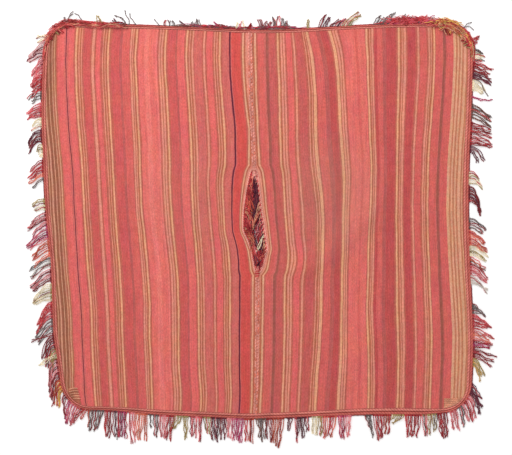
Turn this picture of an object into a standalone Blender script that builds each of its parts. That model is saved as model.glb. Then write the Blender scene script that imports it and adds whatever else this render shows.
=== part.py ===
"""Andean poncho, opened out flat: two striped panels, a bound edge and a fringe all round.

Metres, +Z up. The cloth lies on the XY plane with its shoulder edge towards +Y, and the
origin is under the middle of the whole outline, fringe included.
"""
import math
import random
from typing import NamedTuple

import bmesh
import bpy
from mathutils import Vector

MM = 0.001

# Cloth, in millimetres
CLOTH_THICKNESS = 2.0
PANEL_WIDTH = 600.0
CORNER_RADIUS = 84.0
PIECE_GAP = 0.3
CORNER_COLUMNS = 6
PLAIN_COLUMNS = 11
SEAM_MARGIN = 45.0
EDGE_MARGIN = 60.0
SHARP_DEGREES = 40.0
MITRE_LIMIT = 0.5
WOOL_ROUGHNESS = 0.9

# Tubular binding woven on round the outer edge
BINDING_WIDTH = 10.0
BINDING_HEIGHT = 4.2
SPLIT_COLUMN = 9

# A cord's section: how high its shoulders are, and how far in its flat crown begins
SHOULDER_SHARE = 0.6
CROWN_INSET_SHARE = 0.28

# Cord that covers the two edges of the neck slit, and the tacks at its ends
NECK_CORD_WIDTH = 6.4
NECK_CORD_HEIGHT = 4.6
NECK_SPREAD = 62.0
TACK_LENGTH = 21.0
TACK_WIDTH = 13.0
TACK_HEIGHT = 3.0

# Figure-of-eight stitch that joins the panels
STITCH_WIDTH = 16.0
STITCH_EDGE = 0.6
STITCH_CROWN = 1.8
STITCH_PITCH = 14.0
STITCH_SWING = 4.0

# Fringe: a heading tape with twisted locks growing out of it
TAPE_WIDTH = 7.0
TAPE_HEIGHT = 2.6
TAPE_LIFT = 0.4
NODE_GAP = 0.5
LOCK_PITCH = 19.5
CORNER_LOCK_PITCH = 13.5
LOCK_SCATTER = 8.0
LOCK_SWAY = 6.0
LOCK_SWAY_STEP = 0.9
LOCK_ROOT_SHARE = 0.26
LOCK_FOOT = 0.6
UPRIGHT_LIMIT = 0.5
TURNED_LOCK_PITCH = 19.0
TURNED_LOCK_REACH = 26.0
TURNED_LOCK_SCATTER = 0.2
TURNED_LOCK_DROOP = 0.3
TURNED_TAPE_WIDTH = 11.0
NECK_TAPE_WIDTH = 2.4
NECK_LOCK_REACH = 9.0
NECK_LOCK_SCATTER = 0.3
NECK_LOCK_LIE = 50.0
NECK_LOCK_PITCH = 24.0
NECK_FRINGE_TOP = 112.0
NECK_FRINGE_BOTTOM = -76.0

# Woven patches that strengthen the two lower corners
PATCH_THICKNESS = 1.0
PATCH_MARGIN = 1.0
PATCH_COLUMNS = 5
PATCH_ROWS = 2


class SideRow(NamedTuple):
    """How far the bound edge lies left and right of the middle, at a height y."""

    y: float
    left: float
    right: float


class HemRow(NamedTuple):
    """Heights of the bound lower and upper edges, at a distance x from the middle."""

    x: float
    bottom: float
    top: float


class SeamRow(NamedTuple):
    """Where the joining seam runs, at a height y."""

    y: float
    x: float


class NeckRow(NamedTuple):
    """How far the cloth is drawn away from the seam line on each side of the neck slit."""

    y: float
    left: float
    right: float


class Ridge(NamedTuple):
    """A soft ridge where the cloth stands off the table."""

    x: float
    y: float
    length: float
    width: float
    height: float
    lean: float


class RowBand(NamedTuple):
    """A stretch of the panel's seam edge, and how many rows of the grid it takes."""

    bottom: float
    top: float
    rows: int


class LockRing(NamedTuple):
    """One section of a fringe lock, at a share of its length."""

    along: float
    width: float
    height: float


class TackRing(NamedTuple):
    """One section of a bar tack, at a share of its length from its middle."""

    along: float
    size: float


class FringeRun(NamedTuple):
    """A stretch of fringe: how its first and last locks lie, in degrees, and their length."""

    name: str
    first_lie: float
    last_lie: float
    reach: float


class TapeRow(NamedTuple):
    """How far the heading tape stands up above the shoulder edge, at a distance x."""

    x: float
    width: float


class Patch(NamedTuple):
    """A corner patch: its distances in from the outer edge, and its top's height."""

    side: int
    outer: float
    inner: float
    top: float


class Tuft(NamedTuple):
    """A lock of the folded-under upper fringe that still shows above the edge."""

    x: float
    reach: float
    lie: float


SIDE_ROWS = (
    SideRow(600, -619, 617),
    SideRow(483, -629, 618),
    SideRow(325, -634, 613),
    SideRow(190, -629, 607),
    SideRow(60, -623, 605),
    SideRow(-40, -613, 607),
    SideRow(-125, -606, 610),
    SideRow(-300, -600, 618),
    SideRow(-373, -590, 618),
    SideRow(-445, -580, 615),
    SideRow(-540, -571, 612),
)

HEM_ROWS = (
    HemRow(-625, -531, 592),
    HemRow(-551, -531, 589),
    HemRow(-493, -532, 586),
    HemRow(-406, -535, 585),
    HemRow(-319, -541, 583),
    HemRow(-174, -547, 578),
    HemRow(-43, -552, 572),
    HemRow(29, -550, 571),
    HemRow(116, -547, 573),
    HemRow(290, -538, 583),
    HemRow(406, -536, 587),
    HemRow(493, -538, 588),
    HemRow(620, -538, 590),
)

SEAM_ROWS = (
    SeamRow(590, -29),
    SeamRow(367, -26),
    SeamRow(193, -18),
    SeamRow(-140, -8),
    SeamRow(-271, -8),
    SeamRow(-430, -10),
    SeamRow(-570, -15),
)

NECK_ROWS = (
    NeckRow(178, 0, 0),
    NeckRow(160, 12, 10),
    NeckRow(135, 20, 14),
    NeckRow(90, 30, 18),
    NeckRow(48, 37, 21),
    NeckRow(10, 40, 26),
    NeckRow(-14, 39, 28),
    NeckRow(-40, 28, 31),
    NeckRow(-68, 19, 33),
    NeckRow(-86, 16, 27),
    NeckRow(-106, 12, 22),
    NeckRow(-128, 8, 14),
    NeckRow(-142, 0, 0),
)

# The slit's cords run between the tacks, which cover the last rows
SLIT_TOP = NECK_ROWS[1].y
SLIT_BOTTOM = NECK_ROWS[-2].y

RIDGES = (
    Ridge(165, -105, 300, 150, 6.0, 72),
    Ridge(300, 20, 400, 150, 7.0, 38),
    Ridge(290, -370, 380, 150, 6.0, 35),
    Ridge(180, 130, 420, 170, 4.0, 4),
    Ridge(440, 260, 440, 180, 4.0, -6),
    Ridge(-190, 60, 480, 180, 5.0, 8),
    Ridge(-400, 220, 520, 200, 4.0, -4),
    Ridge(-330, -270, 420, 190, 4.5, 5),
)

ROW_BANDS = (
    RowBand(-542, -142, 8),
    RowBand(-142, 178, 14),
    RowBand(178, 561, 7),
)

LOCK_RINGS = (
    LockRing(0.3, 8.5, 3.8),
    LockRing(0.68, 7.0, 3.2),
    LockRing(1.0, 3.0, 1.4),
)

TURNED_LOCK_RINGS = (
    LockRing(0.45, 5.6, 2.4),
    LockRing(1.0, 2.6, 1.2),
)

NECK_LOCK_RINGS = (
    LockRing(0.45, 8.0, 2.8),
    LockRing(1.0, 3.0, 1.4),
)

TACK_RINGS = (
    TackRing(-0.5, 0.6),
    TackRing(-0.25, 1.0),
    TackRing(0.25, 1.0),
    TackRing(0.5, 0.6),
)

FRINGE_RUNS = (
    FringeRun("side", 36.0, 50.0, 54.0),
    FringeRun("corner", 54.0, 76.0, 62.0),
    FringeRun("bottom", 82.0, 91.0, 70.0),
)

TAPE_ROWS = (
    TapeRow(-622, 3),
    TapeRow(-590, 9),
    TapeRow(-550, 14),
    TapeRow(-440, 12),
    TapeRow(-400, 4),
    TapeRow(330, 4),
    TapeRow(370, 13),
    TapeRow(405, 18),
    TapeRow(480, 18),
    TapeRow(530, 11),
    TapeRow(590, 5),
    TapeRow(612, 3),
)

PATCHES = (
    Patch(-1, 18, 58, -470),
    Patch(1, 32, 80, -498),
)

TUFTS = (
    Tuft(-570, 34, 110),
    Tuft(-478, 26, 125),
    Tuft(-394, 48, 118),
    Tuft(-376, 44, 108),
    Tuft(-290, 30, 140),
    Tuft(-265, 22, 130),
    Tuft(-205, 14, 95),
    Tuft(-75, 18, 95),
    Tuft(-20, 30, 80),
    Tuft(10, 34, 75),
    Tuft(40, 40, 70),
    Tuft(75, 24, 60),
    Tuft(142, 36, 65),
    Tuft(190, 44, 40),
    Tuft(210, 44, 38),
    Tuft(232, 46, 38),
    Tuft(255, 46, 45),
    Tuft(275, 40, 48),
    Tuft(345, 30, 35),
    Tuft(366, 32, 40),
)


def read_table(rows, key, column, at):
    """Smooth value of a table's column at a key, held level past its two ends."""
    keys = [getattr(row, key) for row in rows]
    values = [getattr(row, column) for row in rows]
    if keys[0] > keys[-1]:
        keys.reverse()
        values.reverse()
    if at <= keys[0]:
        return values[0]
    if at >= keys[-1]:
        return values[-1]
    high = next(index for index, edge in enumerate(keys) if edge >= at)
    low = high - 1
    slopes = []
    for index in (low, high):
        before, after = max(index - 1, 0), min(index + 1, len(keys) - 1)
        slopes.append((values[after] - values[before]) / (keys[after] - keys[before]))
    span = keys[high] - keys[low]
    t = (at - keys[low]) / span
    ease = t * t * (3.0 - 2.0 * t)
    start_pull = slopes[0] * span * t * (1.0 - t) ** 2
    end_pull = slopes[1] * span * t * t * (t - 1.0)
    return values[low] + (values[high] - values[low]) * ease + start_pull + end_pull


def blend(start, end, share):
    """Value that lies a share of the way from start to end."""
    return start + (end - start) * share


def ease_in(value):
    """Smooth step from 0 to 1."""
    value = min(max(value, 0.0), 1.0)
    return value * value * (3.0 - 2.0 * value)


def uneven(index, salt):
    """Repeatable scatter between -1 and 1 for one lock."""
    return random.Random(f"{salt} {index}").uniform(-1.0, 1.0)


def side_name(side):
    """Word for a side: -1 is left, 1 is right."""
    return "left" if side < 0 else "right"


def outer_edge(side, y):
    """Where a panel's outer edge lies, inside the binding."""
    bound = read_table(SIDE_ROWS, "y", side_name(side), y)
    return bound - side * (BINDING_WIDTH + PIECE_GAP)


def seam_line(y):
    """Where the seam between the two panels runs."""
    return read_table(SEAM_ROWS, "y", "x", y)


def neck_draw(side, y):
    """How far the cloth's inner edge is drawn back from the seam line."""
    return max(0.0, read_table(NECK_ROWS, "y", side_name(side), y))


def hem_height(which, x, inset):
    """Height of a panel's lower or upper edge, with its rounded outer corner."""
    inward = 1.0 if which == "bottom" else -1.0
    level = read_table(HEM_ROWS, "x", which, x) + inward * (BINDING_WIDTH + PIECE_GAP)
    radius = CORNER_RADIUS - BINDING_WIDTH
    if inset >= radius:
        return level
    return level + inward * (radius - math.sqrt(radius ** 2 - (radius - inset) ** 2))


def ridge_height(x, y):
    """Height at which the cloth's underside stands off the table."""
    total = 0.0
    for ridge in RIDGES:
        turn = math.radians(ridge.lean)
        along = (y - ridge.y) * math.cos(turn) + (x - ridge.x) * math.sin(turn)
        across = (x - ridge.x) * math.cos(turn) - (y - ridge.y) * math.sin(turn)
        if abs(along) < ridge.length / 2 and abs(across) < ridge.width / 2:
            length_share = math.cos(math.pi * along / ridge.length) ** 2
            width_share = math.cos(math.pi * across / ridge.width) ** 2
            total += ridge.height * length_share * width_share
    return total


def cloth_point(side, inset_share, height_share):
    """Point of a panel's underside, in millimetres.

    inset_share runs from 0 at the outer edge to 1 at the seam, and height_share from 0 at
    the hem to 1 at the shoulder edge.
    """
    nominal_x = blend(outer_edge(side, 0.0), seam_line(0.0), inset_share)
    inset = inset_share * PANEL_WIDTH
    bottom = hem_height("bottom", nominal_x, inset)
    top = hem_height("top", nominal_x, inset)
    y = blend(bottom, top, height_share)
    x = blend(outer_edge(side, y), seam_line(y) + side * PIECE_GAP / 2, inset_share)
    from_seam = (1.0 - inset_share) * PANEL_WIDTH
    x += side * neck_draw(side, y) * math.exp(-from_seam / NECK_SPREAD)
    calm = ease_in((from_seam - SEAM_MARGIN) / EDGE_MARGIN) * ease_in(inset / EDGE_MARGIN)
    calm *= ease_in((y - bottom) / EDGE_MARGIN) * ease_in((top - y) / EDGE_MARGIN)
    return Vector((x, y, ridge_height(x, y) * calm))


def column_shares():
    """Places of a panel's columns: close together round the corner, then even."""
    radius = CORNER_RADIUS - BINDING_WIDTH
    shares = []
    for step in range(CORNER_COLUMNS):
        angle = math.pi / 2 * step / CORNER_COLUMNS
        shares.append(radius * (1.0 - math.cos(angle)) / PANEL_WIDTH)
    first = radius / PANEL_WIDTH
    for step in range(PLAIN_COLUMNS + 1):
        shares.append(blend(first, 1.0, step / PLAIN_COLUMNS))
    return shares


def row_shares():
    """Places of a panel's rows: close together beside the neck slit."""
    lowest, highest = ROW_BANDS[0].bottom, ROW_BANDS[-1].top
    heights = []
    for band in ROW_BANDS:
        heights += [blend(band.bottom, band.top, step / band.rows) for step in range(band.rows)]
    return [(y - lowest) / (highest - lowest) for y in heights + [highest]]


def edge_points(side):
    """The panel's outline in order, from the seam over the top and round to the hem."""
    shares = column_shares()
    over = [cloth_point(side, share, 1.0) for share in reversed(shares)]
    down = [cloth_point(side, 0.0, share) for share in reversed(row_shares())]
    back = [cloth_point(side, share, 0.0) for share in shares]
    return over + down[1:-1] + back


def outward_normals(points, side):
    """Unit normals of a path that point away from the cloth, sized for its mitres."""
    normals = []
    for index in range(len(points)):
        before = points[max(index - 1, 0)]
        here = points[index]
        after = points[min(index + 1, len(points) - 1)]
        arriving = (here - before) if index > 0 else (after - here)
        leaving = (after - here) if index < len(points) - 1 else arriving
        first = Vector((-arriving.y, arriving.x, 0.0)).normalized() * side
        second = Vector((-leaving.y, leaving.x, 0.0)).normalized() * side
        middle = (first + second).normalized()
        normals.append(middle / max(middle.dot(first), MITRE_LIMIT))
    return normals


def moved_out(points, normals, distance):
    """The same path, a distance out from the cloth."""
    return [point + normal * distance for point, normal in zip(points, normals)]


def collection():
    """The collection that holds every piece of the poncho."""
    name = "andean_poncho"
    if name not in bpy.data.collections:
        bpy.context.scene.collection.children.link(bpy.data.collections.new(name))
    return bpy.data.collections[name]


def material(name, colour):
    """A matt wool finish."""
    if name in bpy.data.materials:
        return bpy.data.materials[name]
    made = bpy.data.materials.new(name)
    made.use_nodes = True
    shader = made.node_tree.nodes["Principled BSDF"]
    shader.inputs["Base Color"].default_value = (*colour, 1.0)
    shader.inputs["Roughness"].default_value = WOOL_ROUGHNESS
    shader.inputs["Metallic"].default_value = 0.0
    return made


WARP_RED = ("warp_red_wool", (0.66, 0.16, 0.13))
BINDING_ROSE = ("binding_rose_wool", (0.70, 0.24, 0.19))
STITCH_PINK = ("stitch_pink_wool", (0.79, 0.35, 0.28))
FRINGE_MAROON = ("fringe_maroon_wool", (0.30, 0.05, 0.06))
PATCH_TAN = ("patch_tan_wool", (0.62, 0.34, 0.22))


def add_object(name, work_mesh, finish):
    """Turn a working mesh in millimetres into a named object in metres."""
    bmesh.ops.scale(work_mesh, vec=(MM, MM, MM), verts=work_mesh.verts)
    bmesh.ops.recalc_face_normals(work_mesh, faces=work_mesh.faces)
    data = bpy.data.meshes.new(name)
    work_mesh.to_mesh(data)
    work_mesh.free()
    data.materials.append(material(*finish))
    made = bpy.data.objects.new(name, data)
    collection().objects.link(made)
    return made


def add_thickness(sheet, thickness):
    """Give an open sheet its thickness, upwards from its underside, with crisp cut edges."""
    wall = sheet.modifiers.new("thickness", "SOLIDIFY")
    wall.thickness = thickness * MM
    wall.offset = 1.0
    wall.use_even_offset = True
    evaluated = sheet.evaluated_get(bpy.context.evaluated_depsgraph_get())
    solid = bpy.data.meshes.new_from_object(evaluated)
    sheet.modifiers.remove(wall)
    sheet.data = solid
    solid.name = sheet.name
    solid.shade_smooth()
    solid.set_sharp_from_angle(angle=math.radians(SHARP_DEGREES))
    return sheet


def sheet_object(name, grid, finish, thickness):
    """A sheet of cloth from a plain grid, each of whose points is put in place."""
    columns = len(grid) - 1
    rows = len(grid[0]) - 1
    work_mesh = bmesh.new()
    bmesh.ops.create_grid(work_mesh, x_segments=columns, y_segments=rows, size=0.5)
    for vert in work_mesh.verts:
        column = round((vert.co.x + 0.5) * columns)
        row = round((vert.co.y + 0.5) * rows)
        vert.co = grid[column][row]
    sheet = add_object(name, work_mesh, finish)
    if sum(face.normal.z for face in sheet.data.polygons) < 0.0:
        sheet.data.flip_normals()
    return add_thickness(sheet, thickness)


def loft_mesh(sections):
    """A closed bar through sections that all have the same number of corners."""
    work_mesh = bmesh.new()
    rings = [[work_mesh.verts.new(corner) for corner in section] for section in sections]
    for ring, following in zip(rings, rings[1:]):
        for corner in range(len(ring)):
            after = (corner + 1) % len(ring)
            work_mesh.faces.new((ring[corner], ring[after], following[after], following[corner]))
    work_mesh.faces.new(rings[0])
    work_mesh.faces.new(rings[-1])
    bmesh.ops.recalc_face_normals(work_mesh, faces=work_mesh.faces)
    return work_mesh


def flat_bottomed_sections(inner, outer, base, height):
    """Sections of a cord that is flat where it rests and rounded above."""
    sections = []
    for near, far in zip(inner, outer):
        across = far - near
        shoulder = Vector((0.0, 0.0, base + height * SHOULDER_SHARE))
        crown = Vector((0.0, 0.0, base + height))
        foot = Vector((0.0, 0.0, base))
        sections.append(
            (
                near + foot,
                near + shoulder,
                near + across * CROWN_INSET_SHARE + crown,
                far - across * CROWN_INSET_SHARE + crown,
                far + shoulder,
                far + foot,
            )
        )
    return sections


def make_panels():
    """The two loom widths of striped cloth."""
    columns = column_shares()
    rows = row_shares()
    for side in (-1, 1):
        name = f"panel_{side_name(side)}"
        grid = [[cloth_point(side, column, row) for row in rows] for column in columns]
        sheet_object(name, grid, WARP_RED, CLOTH_THICKNESS)


def make_bindings():
    """The tubular binding: a side with both its corners, and the runs that meet mid-seam."""
    for side in (-1, 1):
        points = edge_points(side)
        normals = outward_normals(points, side)
        count = len(column_shares())
        runs = {
            "top": slice(0, count - SPLIT_COLUMN + 1),
            "side": slice(count - SPLIT_COLUMN, len(points) - count + SPLIT_COLUMN),
            "bottom": slice(len(points) - count + SPLIT_COLUMN - 1, len(points)),
        }
        for run, span in runs.items():
            path = points[span]
            path_normals = normals[span]
            if run != "side":
                path = shortened(path, PIECE_GAP)
            inner = moved_out(path, path_normals, PIECE_GAP)
            outer = moved_out(path, path_normals, PIECE_GAP + BINDING_WIDTH)
            sections = flat_bottomed_sections(inner, outer, 0.0, BINDING_HEIGHT)
            add_object(f"binding_{run}_{side_name(side)}", loft_mesh(sections), BINDING_ROSE)


def shortened(points, cut):
    """A path cut back by the same amount at both of its ends."""
    points = list(points)
    points[0] = points[0] + (points[1] - points[0]).normalized() * cut
    points[-1] = points[-1] + (points[-2] - points[-1]).normalized() * cut
    return points


def neck_heights(side):
    """Heights of the panel's own points between the two tacks, from the top down."""
    heights = [cloth_point(side, 1.0, share).y for share in row_shares()]
    inside = [y for y in heights if SLIT_BOTTOM + PIECE_GAP < y < SLIT_TOP - PIECE_GAP]
    return [SLIT_TOP] + sorted(inside, reverse=True) + [SLIT_BOTTOM]


def neck_path(side):
    """The cloth's edge beside the neck slit, from the top down, and its normals."""
    corners = [cloth_point(side, 1.0, share) for share in row_shares()]
    points = []
    for y in neck_heights(side):
        above = next(index for index, corner in enumerate(corners) if corner.y >= y)
        low, high = corners[above - 1], corners[above]
        points.append(low.lerp(high, (y - low.y) / (high.y - low.y)))
    return points, outward_normals(points, side)


def make_neck_cords():
    """The cord along each edge of the neck slit."""
    for side in (-1, 1):
        points, normals = neck_path(side)
        outer = moved_out(points, normals, -PIECE_GAP)
        inner = moved_out(points, normals, -PIECE_GAP - NECK_CORD_WIDTH)
        sections = flat_bottomed_sections(inner, outer, 0.0, NECK_CORD_HEIGHT)
        add_object(f"neck_cord_{side_name(side)}", loft_mesh(sections), STITCH_PINK)


def stitch_sections(top, bottom):
    """Sections of the joining stitch, whose crown swings from side to side."""
    count = round((top - bottom) / (STITCH_PITCH / 2))
    base = CLOTH_THICKNESS + PIECE_GAP
    half = STITCH_WIDTH / 2
    sections = []
    for step in range(count + 1):
        y = blend(top, bottom, step / count)
        x = seam_line(y)
        swing = STITCH_SWING if step % 2 else -STITCH_SWING
        sections.append(
            (
                Vector((x - half, y, base)),
                Vector((x - half, y, base + STITCH_EDGE)),
                Vector((x + swing, y, base + STITCH_CROWN)),
                Vector((x + half, y, base + STITCH_EDGE)),
                Vector((x + half, y, base)),
            )
        )
    return sections


def tack_sections(middle):
    """Sections of a bar tack at one end of the neck slit."""
    base = Vector((0.0, 0.0, CLOTH_THICKNESS + PIECE_GAP))
    sections = []
    for ring in TACK_RINGS:
        y = middle + ring.along * TACK_LENGTH
        half = Vector((TACK_WIDTH / 2 * ring.size, 0.0, 0.0))
        centre = Vector((seam_line(y), y, 0.0)) + base
        crown = Vector((0.0, 0.0, TACK_HEIGHT * ring.size))
        sections.append(
            (
                centre - half,
                centre - half + crown * SHOULDER_SHARE,
                centre + crown,
                centre + half + crown * SHOULDER_SHARE,
                centre + half,
            )
        )
    return sections


def make_seam():
    """The joining stitch above and below the neck slit, and the two tacks."""
    top_edge = cloth_point(-1, 1.0, 1.0).y
    bottom_edge = cloth_point(-1, 1.0, 0.0).y
    upper_tack = SLIT_TOP + PIECE_GAP + TACK_LENGTH / 2
    lower_tack = SLIT_BOTTOM - PIECE_GAP - TACK_LENGTH / 2
    reach = TACK_LENGTH / 2 + PIECE_GAP
    upper = stitch_sections(top_edge - PIECE_GAP, upper_tack + reach)
    lower = stitch_sections(lower_tack - reach, bottom_edge + PIECE_GAP)
    add_object("seam_stitch_upper", loft_mesh(upper), STITCH_PINK)
    add_object("seam_stitch_lower", loft_mesh(lower), STITCH_PINK)
    add_object("neck_tack_upper", loft_mesh(tack_sections(upper_tack)), STITCH_PINK)
    add_object("neck_tack_lower", loft_mesh(tack_sections(lower_tack)), STITCH_PINK)


def make_patches():
    """The small woven patches on the lower corners, lying on the cloth."""
    lift = Vector((0.0, 0.0, CLOTH_THICKNESS + PIECE_GAP))
    for patch in PATCHES:
        grid = []
        for column in range(PATCH_COLUMNS + 1):
            share = blend(patch.outer, patch.inner, column / PATCH_COLUMNS) / PANEL_WIDTH
            bottom = cloth_point(patch.side, share, 0.0).y
            top = cloth_point(patch.side, share, 1.0).y
            low = bottom + PATCH_MARGIN
            heights = [blend(low, patch.top, row / PATCH_ROWS) for row in range(PATCH_ROWS + 1)]
            shares = [(y - bottom) / (top - bottom) for y in heights]
            grid.append([cloth_point(patch.side, share, height) + lift for height in shares])
        name = f"corner_patch_{side_name(patch.side)}"
        sheet_object(name, grid, PATCH_TAN, PATCH_THICKNESS)


def resampled(points, pitch):
    """The same path with each of its stretches cut into even steps, close to a pitch."""
    found = [points[0]]
    for before, after in zip(points, points[1:]):
        count = max(1, round((after - before).length / pitch))
        found += [before.lerp(after, step / count) for step in range(1, count + 1)]
    return found


def tape_sections(near, far, base, height):
    """Square sections of a heading tape; the locks grow from its far face."""
    foot = Vector((0.0, 0.0, base))
    crown = Vector((0.0, 0.0, base + height))
    return [(a + foot, a + crown, b + crown, b + foot) for a, b in zip(near, far)]


def far_faces(tape_mesh, far):
    """The tape's outer faces in order, one for each lock."""
    found = []
    for start, end in zip(far, far[1:]):
        middle = (start + end) / 2
        walls = [face for face in tape_mesh.faces if abs(face.normal.z) < UPRIGHT_LIMIT]
        found.append(min(walls, key=lambda face: (face.calc_center_median().xy - middle.xy).length))
    return found


def grow_lock(tape_mesh, face, lie, reach, rings, foot):
    """Extrude one lock out of the tape and bend it from the tape's normal to its lie."""
    outward = face.normal.copy()
    root = face.calc_center_median()
    knee = root + outward * reach * LOCK_ROOT_SHARE
    tip = knee + lie * reach * (1.0 - LOCK_ROOT_SHARE)
    for ring in rings:
        face = bmesh.ops.extrude_discrete_faces(tape_mesh, faces=[face])["faces"][0]
        before = face.calc_center_median()
        t = ring.along
        centre = root * (1.0 - t) ** 2 + knee * 2.0 * t * (1.0 - t) + tip * t * t
        heading = (knee - root) * (1.0 - t) + (tip - knee) * t
        across = Vector((-heading.y, heading.x, 0.0)).normalized()
        for vert in face.verts:
            offset = vert.co - before
            beside = math.copysign(ring.width / 2, offset.dot(across))
            level = ring.height if offset.z > 0.0 else 0.0
            vert.co = Vector((centre.x, centre.y, foot + level)) + across * beside


def make_fringe(name, near, far, lies, reaches, rings=LOCK_RINGS, base=TAPE_LIFT, foot=LOCK_FOOT):
    """One run of fringe: a tape between two paths, and a lock for each reach above zero."""
    tape_mesh = loft_mesh(tape_sections(near, far, base, TAPE_HEIGHT))
    for face, lie, reach in zip(far_faces(tape_mesh, far), lies, reaches):
        if reach > 0.0:
            grow_lock(tape_mesh, face, lie, reach, rings, foot)
    return add_object(name, tape_mesh, FRINGE_MAROON)


def lying(side, angle):
    """Direction that points outwards and down the garment by an angle in degrees."""
    turn = math.radians(angle)
    return Vector((side * math.cos(turn), -math.sin(turn), 0.0))


def outline_runs(side):
    """The bound outline's stretches by name, each a pair of points and normals."""
    points = edge_points(side)
    normals = outward_normals(points, side)
    top_end = len(column_shares()) - 1
    side_end = len(points) - len(column_shares())
    spans = {
        "top": (0, top_end - CORNER_COLUMNS),
        "turned": (top_end - CORNER_COLUMNS, top_end),
        "side": (top_end, side_end),
        "corner": (side_end, side_end + CORNER_COLUMNS),
        "bottom": (side_end + CORNER_COLUMNS, len(points) - 1),
    }
    return {run: (points[a : b + 1], normals[a : b + 1]) for run, (a, b) in spans.items()}


def make_open_fringe():
    """The fringe down both sides, round the lower corners and along the hem."""
    bound = PIECE_GAP + BINDING_WIDTH + PIECE_GAP
    for side in (-1, 1):
        runs = outline_runs(side)
        for salt, run in enumerate(FRINGE_RUNS):
            path, path_normals = runs[run.name]
            near = shortened(moved_out(path, path_normals, bound), NODE_GAP)
            near = resampled(near, CORNER_LOCK_PITCH if run.name == "corner" else LOCK_PITCH)
            far_normals = outward_normals(near, side)
            far = moved_out(near, far_normals, TAPE_WIDTH)
            count = len(near) - 1
            lies = []
            reaches = []
            for index in range(count):
                sway = LOCK_SWAY * math.sin(index * LOCK_SWAY_STEP + salt + side)
                angle = blend(run.first_lie, run.last_lie, index / max(count - 1, 1)) + sway
                lies.append(lying(side, angle))
                reaches.append(run.reach + LOCK_SCATTER * uneven(index, salt + side))
            make_fringe(f"fringe_{run.name}_{side_name(side)}", near, far, lies, reaches)


def make_top_fringe():
    """The shoulder edge's fringe, which is folded under but for a few tufts."""
    bound = PIECE_GAP + BINDING_WIDTH + PIECE_GAP
    for side in (-1, 1):
        runs = outline_runs(side)
        path = runs["top"][0] + runs["turned"][0][1:]
        path_normals = runs["top"][1] + runs["turned"][1][1:]
        near = resampled(shortened(moved_out(path, path_normals, bound), NODE_GAP), LOCK_PITCH)
        far_normals = outward_normals(near, side)
        far = []
        for point, normal in zip(near, far_normals):
            far.append(point + normal * read_table(TAPE_ROWS, "x", "width", point.x))
        lies = []
        reaches = []
        for start, end in zip(far, far[1:]):
            low, high = sorted((start.x, end.x))
            tufts = [tuft for tuft in TUFTS if low <= tuft.x < high]
            reaches.append(tufts[0].reach if tufts else 0.0)
            lies.append(lying(1, -tufts[0].lie) if tufts else lying(1, -90.0))
        make_fringe(f"fringe_top_{side_name(side)}", near, far, lies, reaches)


def make_turned_fringe():
    """The fringe that is turned in over the cloth at the two shoulder corners."""
    base = BINDING_HEIGHT + PIECE_GAP
    for side in (-1, 1):
        path, path_normals = outline_runs(side)["turned"]
        outer = shortened(moved_out(path, path_normals, PIECE_GAP + BINDING_WIDTH), NODE_GAP)
        near = resampled(outer, TURNED_LOCK_PITCH)
        far = moved_out(near, outward_normals(near, side), -TURNED_TAPE_WIDTH)
        lies = []
        reaches = []
        for index, (start, end) in enumerate(zip(far, far[1:])):
            inward = Vector((-(end - start).y, (end - start).x, 0.0)).normalized() * -side
            lies.append((inward + Vector((0.0, -TURNED_LOCK_DROOP, 0.0))).normalized())
            scatter = TURNED_LOCK_SCATTER * uneven(index, side)
            reaches.append(TURNED_LOCK_REACH * (1.0 + scatter))
        name = f"fringe_turned_{side_name(side)}"
        make_fringe(name, near, far, lies, reaches, TURNED_LOCK_RINGS, base, base)


def make_neck_fringe():
    """The short fringe that lies inside the neck slit, along each cord."""
    for side in (-1, 1):
        points, normals = neck_path(side)
        drawn = moved_out(points, normals, -2 * PIECE_GAP - NECK_CORD_WIDTH)
        lined = [point for point in drawn if NECK_FRINGE_BOTTOM < point.y < NECK_FRINGE_TOP]
        near = resampled(lined, NECK_LOCK_PITCH)
        far = moved_out(near, outward_normals(near, side), -NECK_TAPE_WIDTH)
        lies = [lying(-side, NECK_LOCK_LIE)] * (len(near) - 1)
        scatters = [NECK_LOCK_SCATTER * uneven(index, side) for index in range(len(lies))]
        reaches = [NECK_LOCK_REACH * (1.0 + scatter) for scatter in scatters]
        make_fringe(f"neck_fringe_{side_name(side)}", near, far, lies, reaches, NECK_LOCK_RINGS)


def centre_on_origin():
    """Move every piece by the same amount, so that the outline's middle is the origin."""
    corners = [vert.co for piece in collection().objects for vert in piece.data.vertices]
    lowest = Vector([min(corner[axis] for corner in corners) for axis in range(3)])
    highest = Vector([max(corner[axis] for corner in corners) for axis in range(3)])
    middle = (lowest + highest) / 2
    for piece in collection().objects:
        for vert in piece.data.vertices:
            vert.co.x -= middle.x
            vert.co.y -= middle.y


def main():
    """Clear the scene and build the poncho."""
    for old in list(bpy.data.objects):
        bpy.data.objects.remove(old)
    make_panels()
    make_bindings()
    make_neck_cords()
    make_seam()
    make_patches()
    make_open_fringe()
    make_top_fringe()
    make_turned_fringe()
    make_neck_fringe()
    centre_on_origin()


main()
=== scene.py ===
"""Andean poncho: two striped loom widths joined down the middle, bound and fringed all round.

Sizes are in millimetres and become metres as each mesh is made.  +Z is up, the shoulder edge
lies towards +Y, and the cloth rests on the XY plane.
"""
import logging
import math
import random
from dataclasses import dataclass
from dataclasses import field
from enum import Enum
from typing import NamedTuple

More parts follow.
